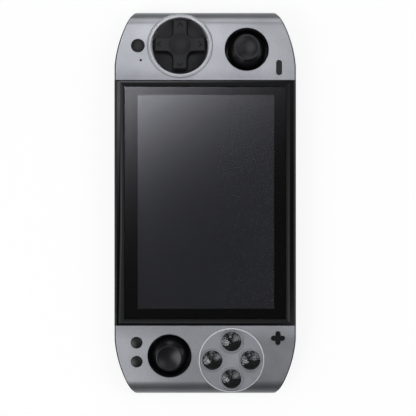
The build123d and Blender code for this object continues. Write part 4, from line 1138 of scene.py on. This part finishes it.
@dataclass(frozen=True)
class Studio:
    """The light table, the soft boxes and the camera over the console."""

    camera_place: tuple[float, float, float] = (0.00257, 0.0014, 0.577)
    lens: float = 97.25
    table_half: float = 3.0
    table_light: float = 0.85
    table_low: float = 0.15
    table_facing: Pair = (0.04, 0.55)
    table_grey: float = 0.2
    room_light: float = 0.1
    glow_colour: str = "f4f4ff"
    glow_light: float = 12.5
    glow_slope: Pair = (29.0, 20.0)
    glow_offset: float = 5.03
    glow_end: Pair = (0.9895, 0.9915)

    def build(self) -> None:
        """Makes the table, the room's dim light, the soft boxes and the camera."""
        scene = bpy.context.scene
        scene.view_settings.view_transform = "Standard"
        self.table()
        self.room()
        for box in SOFT_BOXES:
            box.build()
        data = bpy.data.cameras.new("camera")
        data.lens = self.lens
        data.sensor_width = 36.0
        data.clip_start = 0.01
        camera = add_object("camera", data)
        camera.location = self.camera_place
        camera.rotation_euler = (0.0, 0.0, math.radians(90))
        scene.camera = camera

    def table(self) -> None:
        """Lays a light table under the console.

        Its opal sheet shines straight up and is dim from the side, as with the film that such tables carry, so the
        console's rolled ends reflect a dark table.
        """
        side = self.table_half
        mesh = bpy.data.meshes.new("light_table")
        mesh.from_pydata([(-side, -side, 0), (side, -side, 0), (side, side, 0), (-side, side, 0)], [], [(0, 1, 2, 3)])
        sheet = bpy.data.materials.new("opal_light_table")
        tree = empty_tree(sheet)
        lean = add_node(tree, "ShaderNodeLayerWeight", {"Blend": 0.5}).outputs["Facing"]
        shine = map_range(tree, lean, self.table_facing, (self.table_light, self.table_low), "SMOOTHSTEP")
        looks = {
            "Base Color": (*[self.table_grey] * 3, 1.0), "Roughness": 0.9, "Specular IOR Level": 0.0,
            "Emission Color": WHITE, "Emission Strength": shine,
        }
        shader = add_node(tree, "ShaderNodeBsdfPrincipled", looks)
        add_node(tree, "ShaderNodeOutputMaterial", {"Surface": shader.outputs["BSDF"]})
        mesh.materials.append(sheet)
        add_object("light_table", mesh)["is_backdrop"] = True

    def room(self) -> None:
        """Gives the room a dim light, with the edge of a bright box over the photograph's upper left.

        The box shows in the screen. Its light over a direction (x, y, z) is a logistic curve over a x/z + b y/z, so
        that it dies away across the screen, times a smooth step over z where the box ends.
        """
        world = bpy.data.worlds.new("studio")
        bpy.context.scene.world = world
        tree = empty_tree(world)

        def math_node(kind: str, *values: Any) -> bpy.types.NodeSocket:
            """One step of the formula, as the output of a Math node."""
            return add_node(tree, "ShaderNodeMath", dict(enumerate(values)), operation=kind).outputs["Value"]

        place = add_node(tree, "ShaderNodeTexCoord").outputs["Generated"]
        parts = add_node(tree, "ShaderNodeSeparateXYZ", {"Vector": place})
        height = math_node("MAXIMUM", parts.outputs["Z"], 0.05)
        along = math_node("DIVIDE", parts.outputs["X"], height)
        across = math_node("DIVIDE", parts.outputs["Y"], height)
        run = math_node("MULTIPLY_ADD", along, self.glow_slope[0], self.glow_offset)
        run = math_node("MULTIPLY_ADD", across, self.glow_slope[1], run)
        edge = math_node("DIVIDE", self.glow_light, math_node("ADD", math_node("EXPONENT", run), 1.0))
        end = map_range(tree, parts.outputs["Z"], self.glow_end, (0.0, 1.0), "SMOOTHSTEP")
        box = math_node("MULTIPLY", edge, end)
        dim = add_node(tree, "ShaderNodeBackground", {"Color": WHITE, "Strength": self.room_light})
        glow = add_node(tree, "ShaderNodeBackground", {"Color": linear(self.glow_colour), "Strength": box})
        both = add_node(tree, "ShaderNodeAddShader", {0: dim.outputs["Background"], 1: glow.outputs["Background"]})
        add_node(tree, "ShaderNodeOutputWorld", {"Surface": both.outputs["Shader"]})


# ---- the run ----


def main() -> None:
    """Builds the console and the studio round it."""
    logging.basicConfig(level=logging.INFO, format="%(message)s")
    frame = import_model()
    before = [corner.copy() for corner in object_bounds()]
    console = Console(frame)
    console.dress_nodes()
    # The disc's edge skin is a painted highlight.
    pieces = (
        DirectionPad(), ClearRing(), PaintedEdgeHighlight("disc_edge_painted_highlight", "action_disc", (78.6, 13.1)), MicrophoneGauzeAndShade(),
        ThumbStick(End.LEFT, (-76.75, 20.75)), ThumbStick(End.RIGHT, (76.5, -17.8)), *DOMED_BUTTONS, CaseScrews(),
        *SOCKETS,
    )
    for piece in pieces:
        piece.build(console)
    Studio().build()
    for name in console.made:
        LOG.info("made %s", name)


if __name__ == "__main__":
    main()
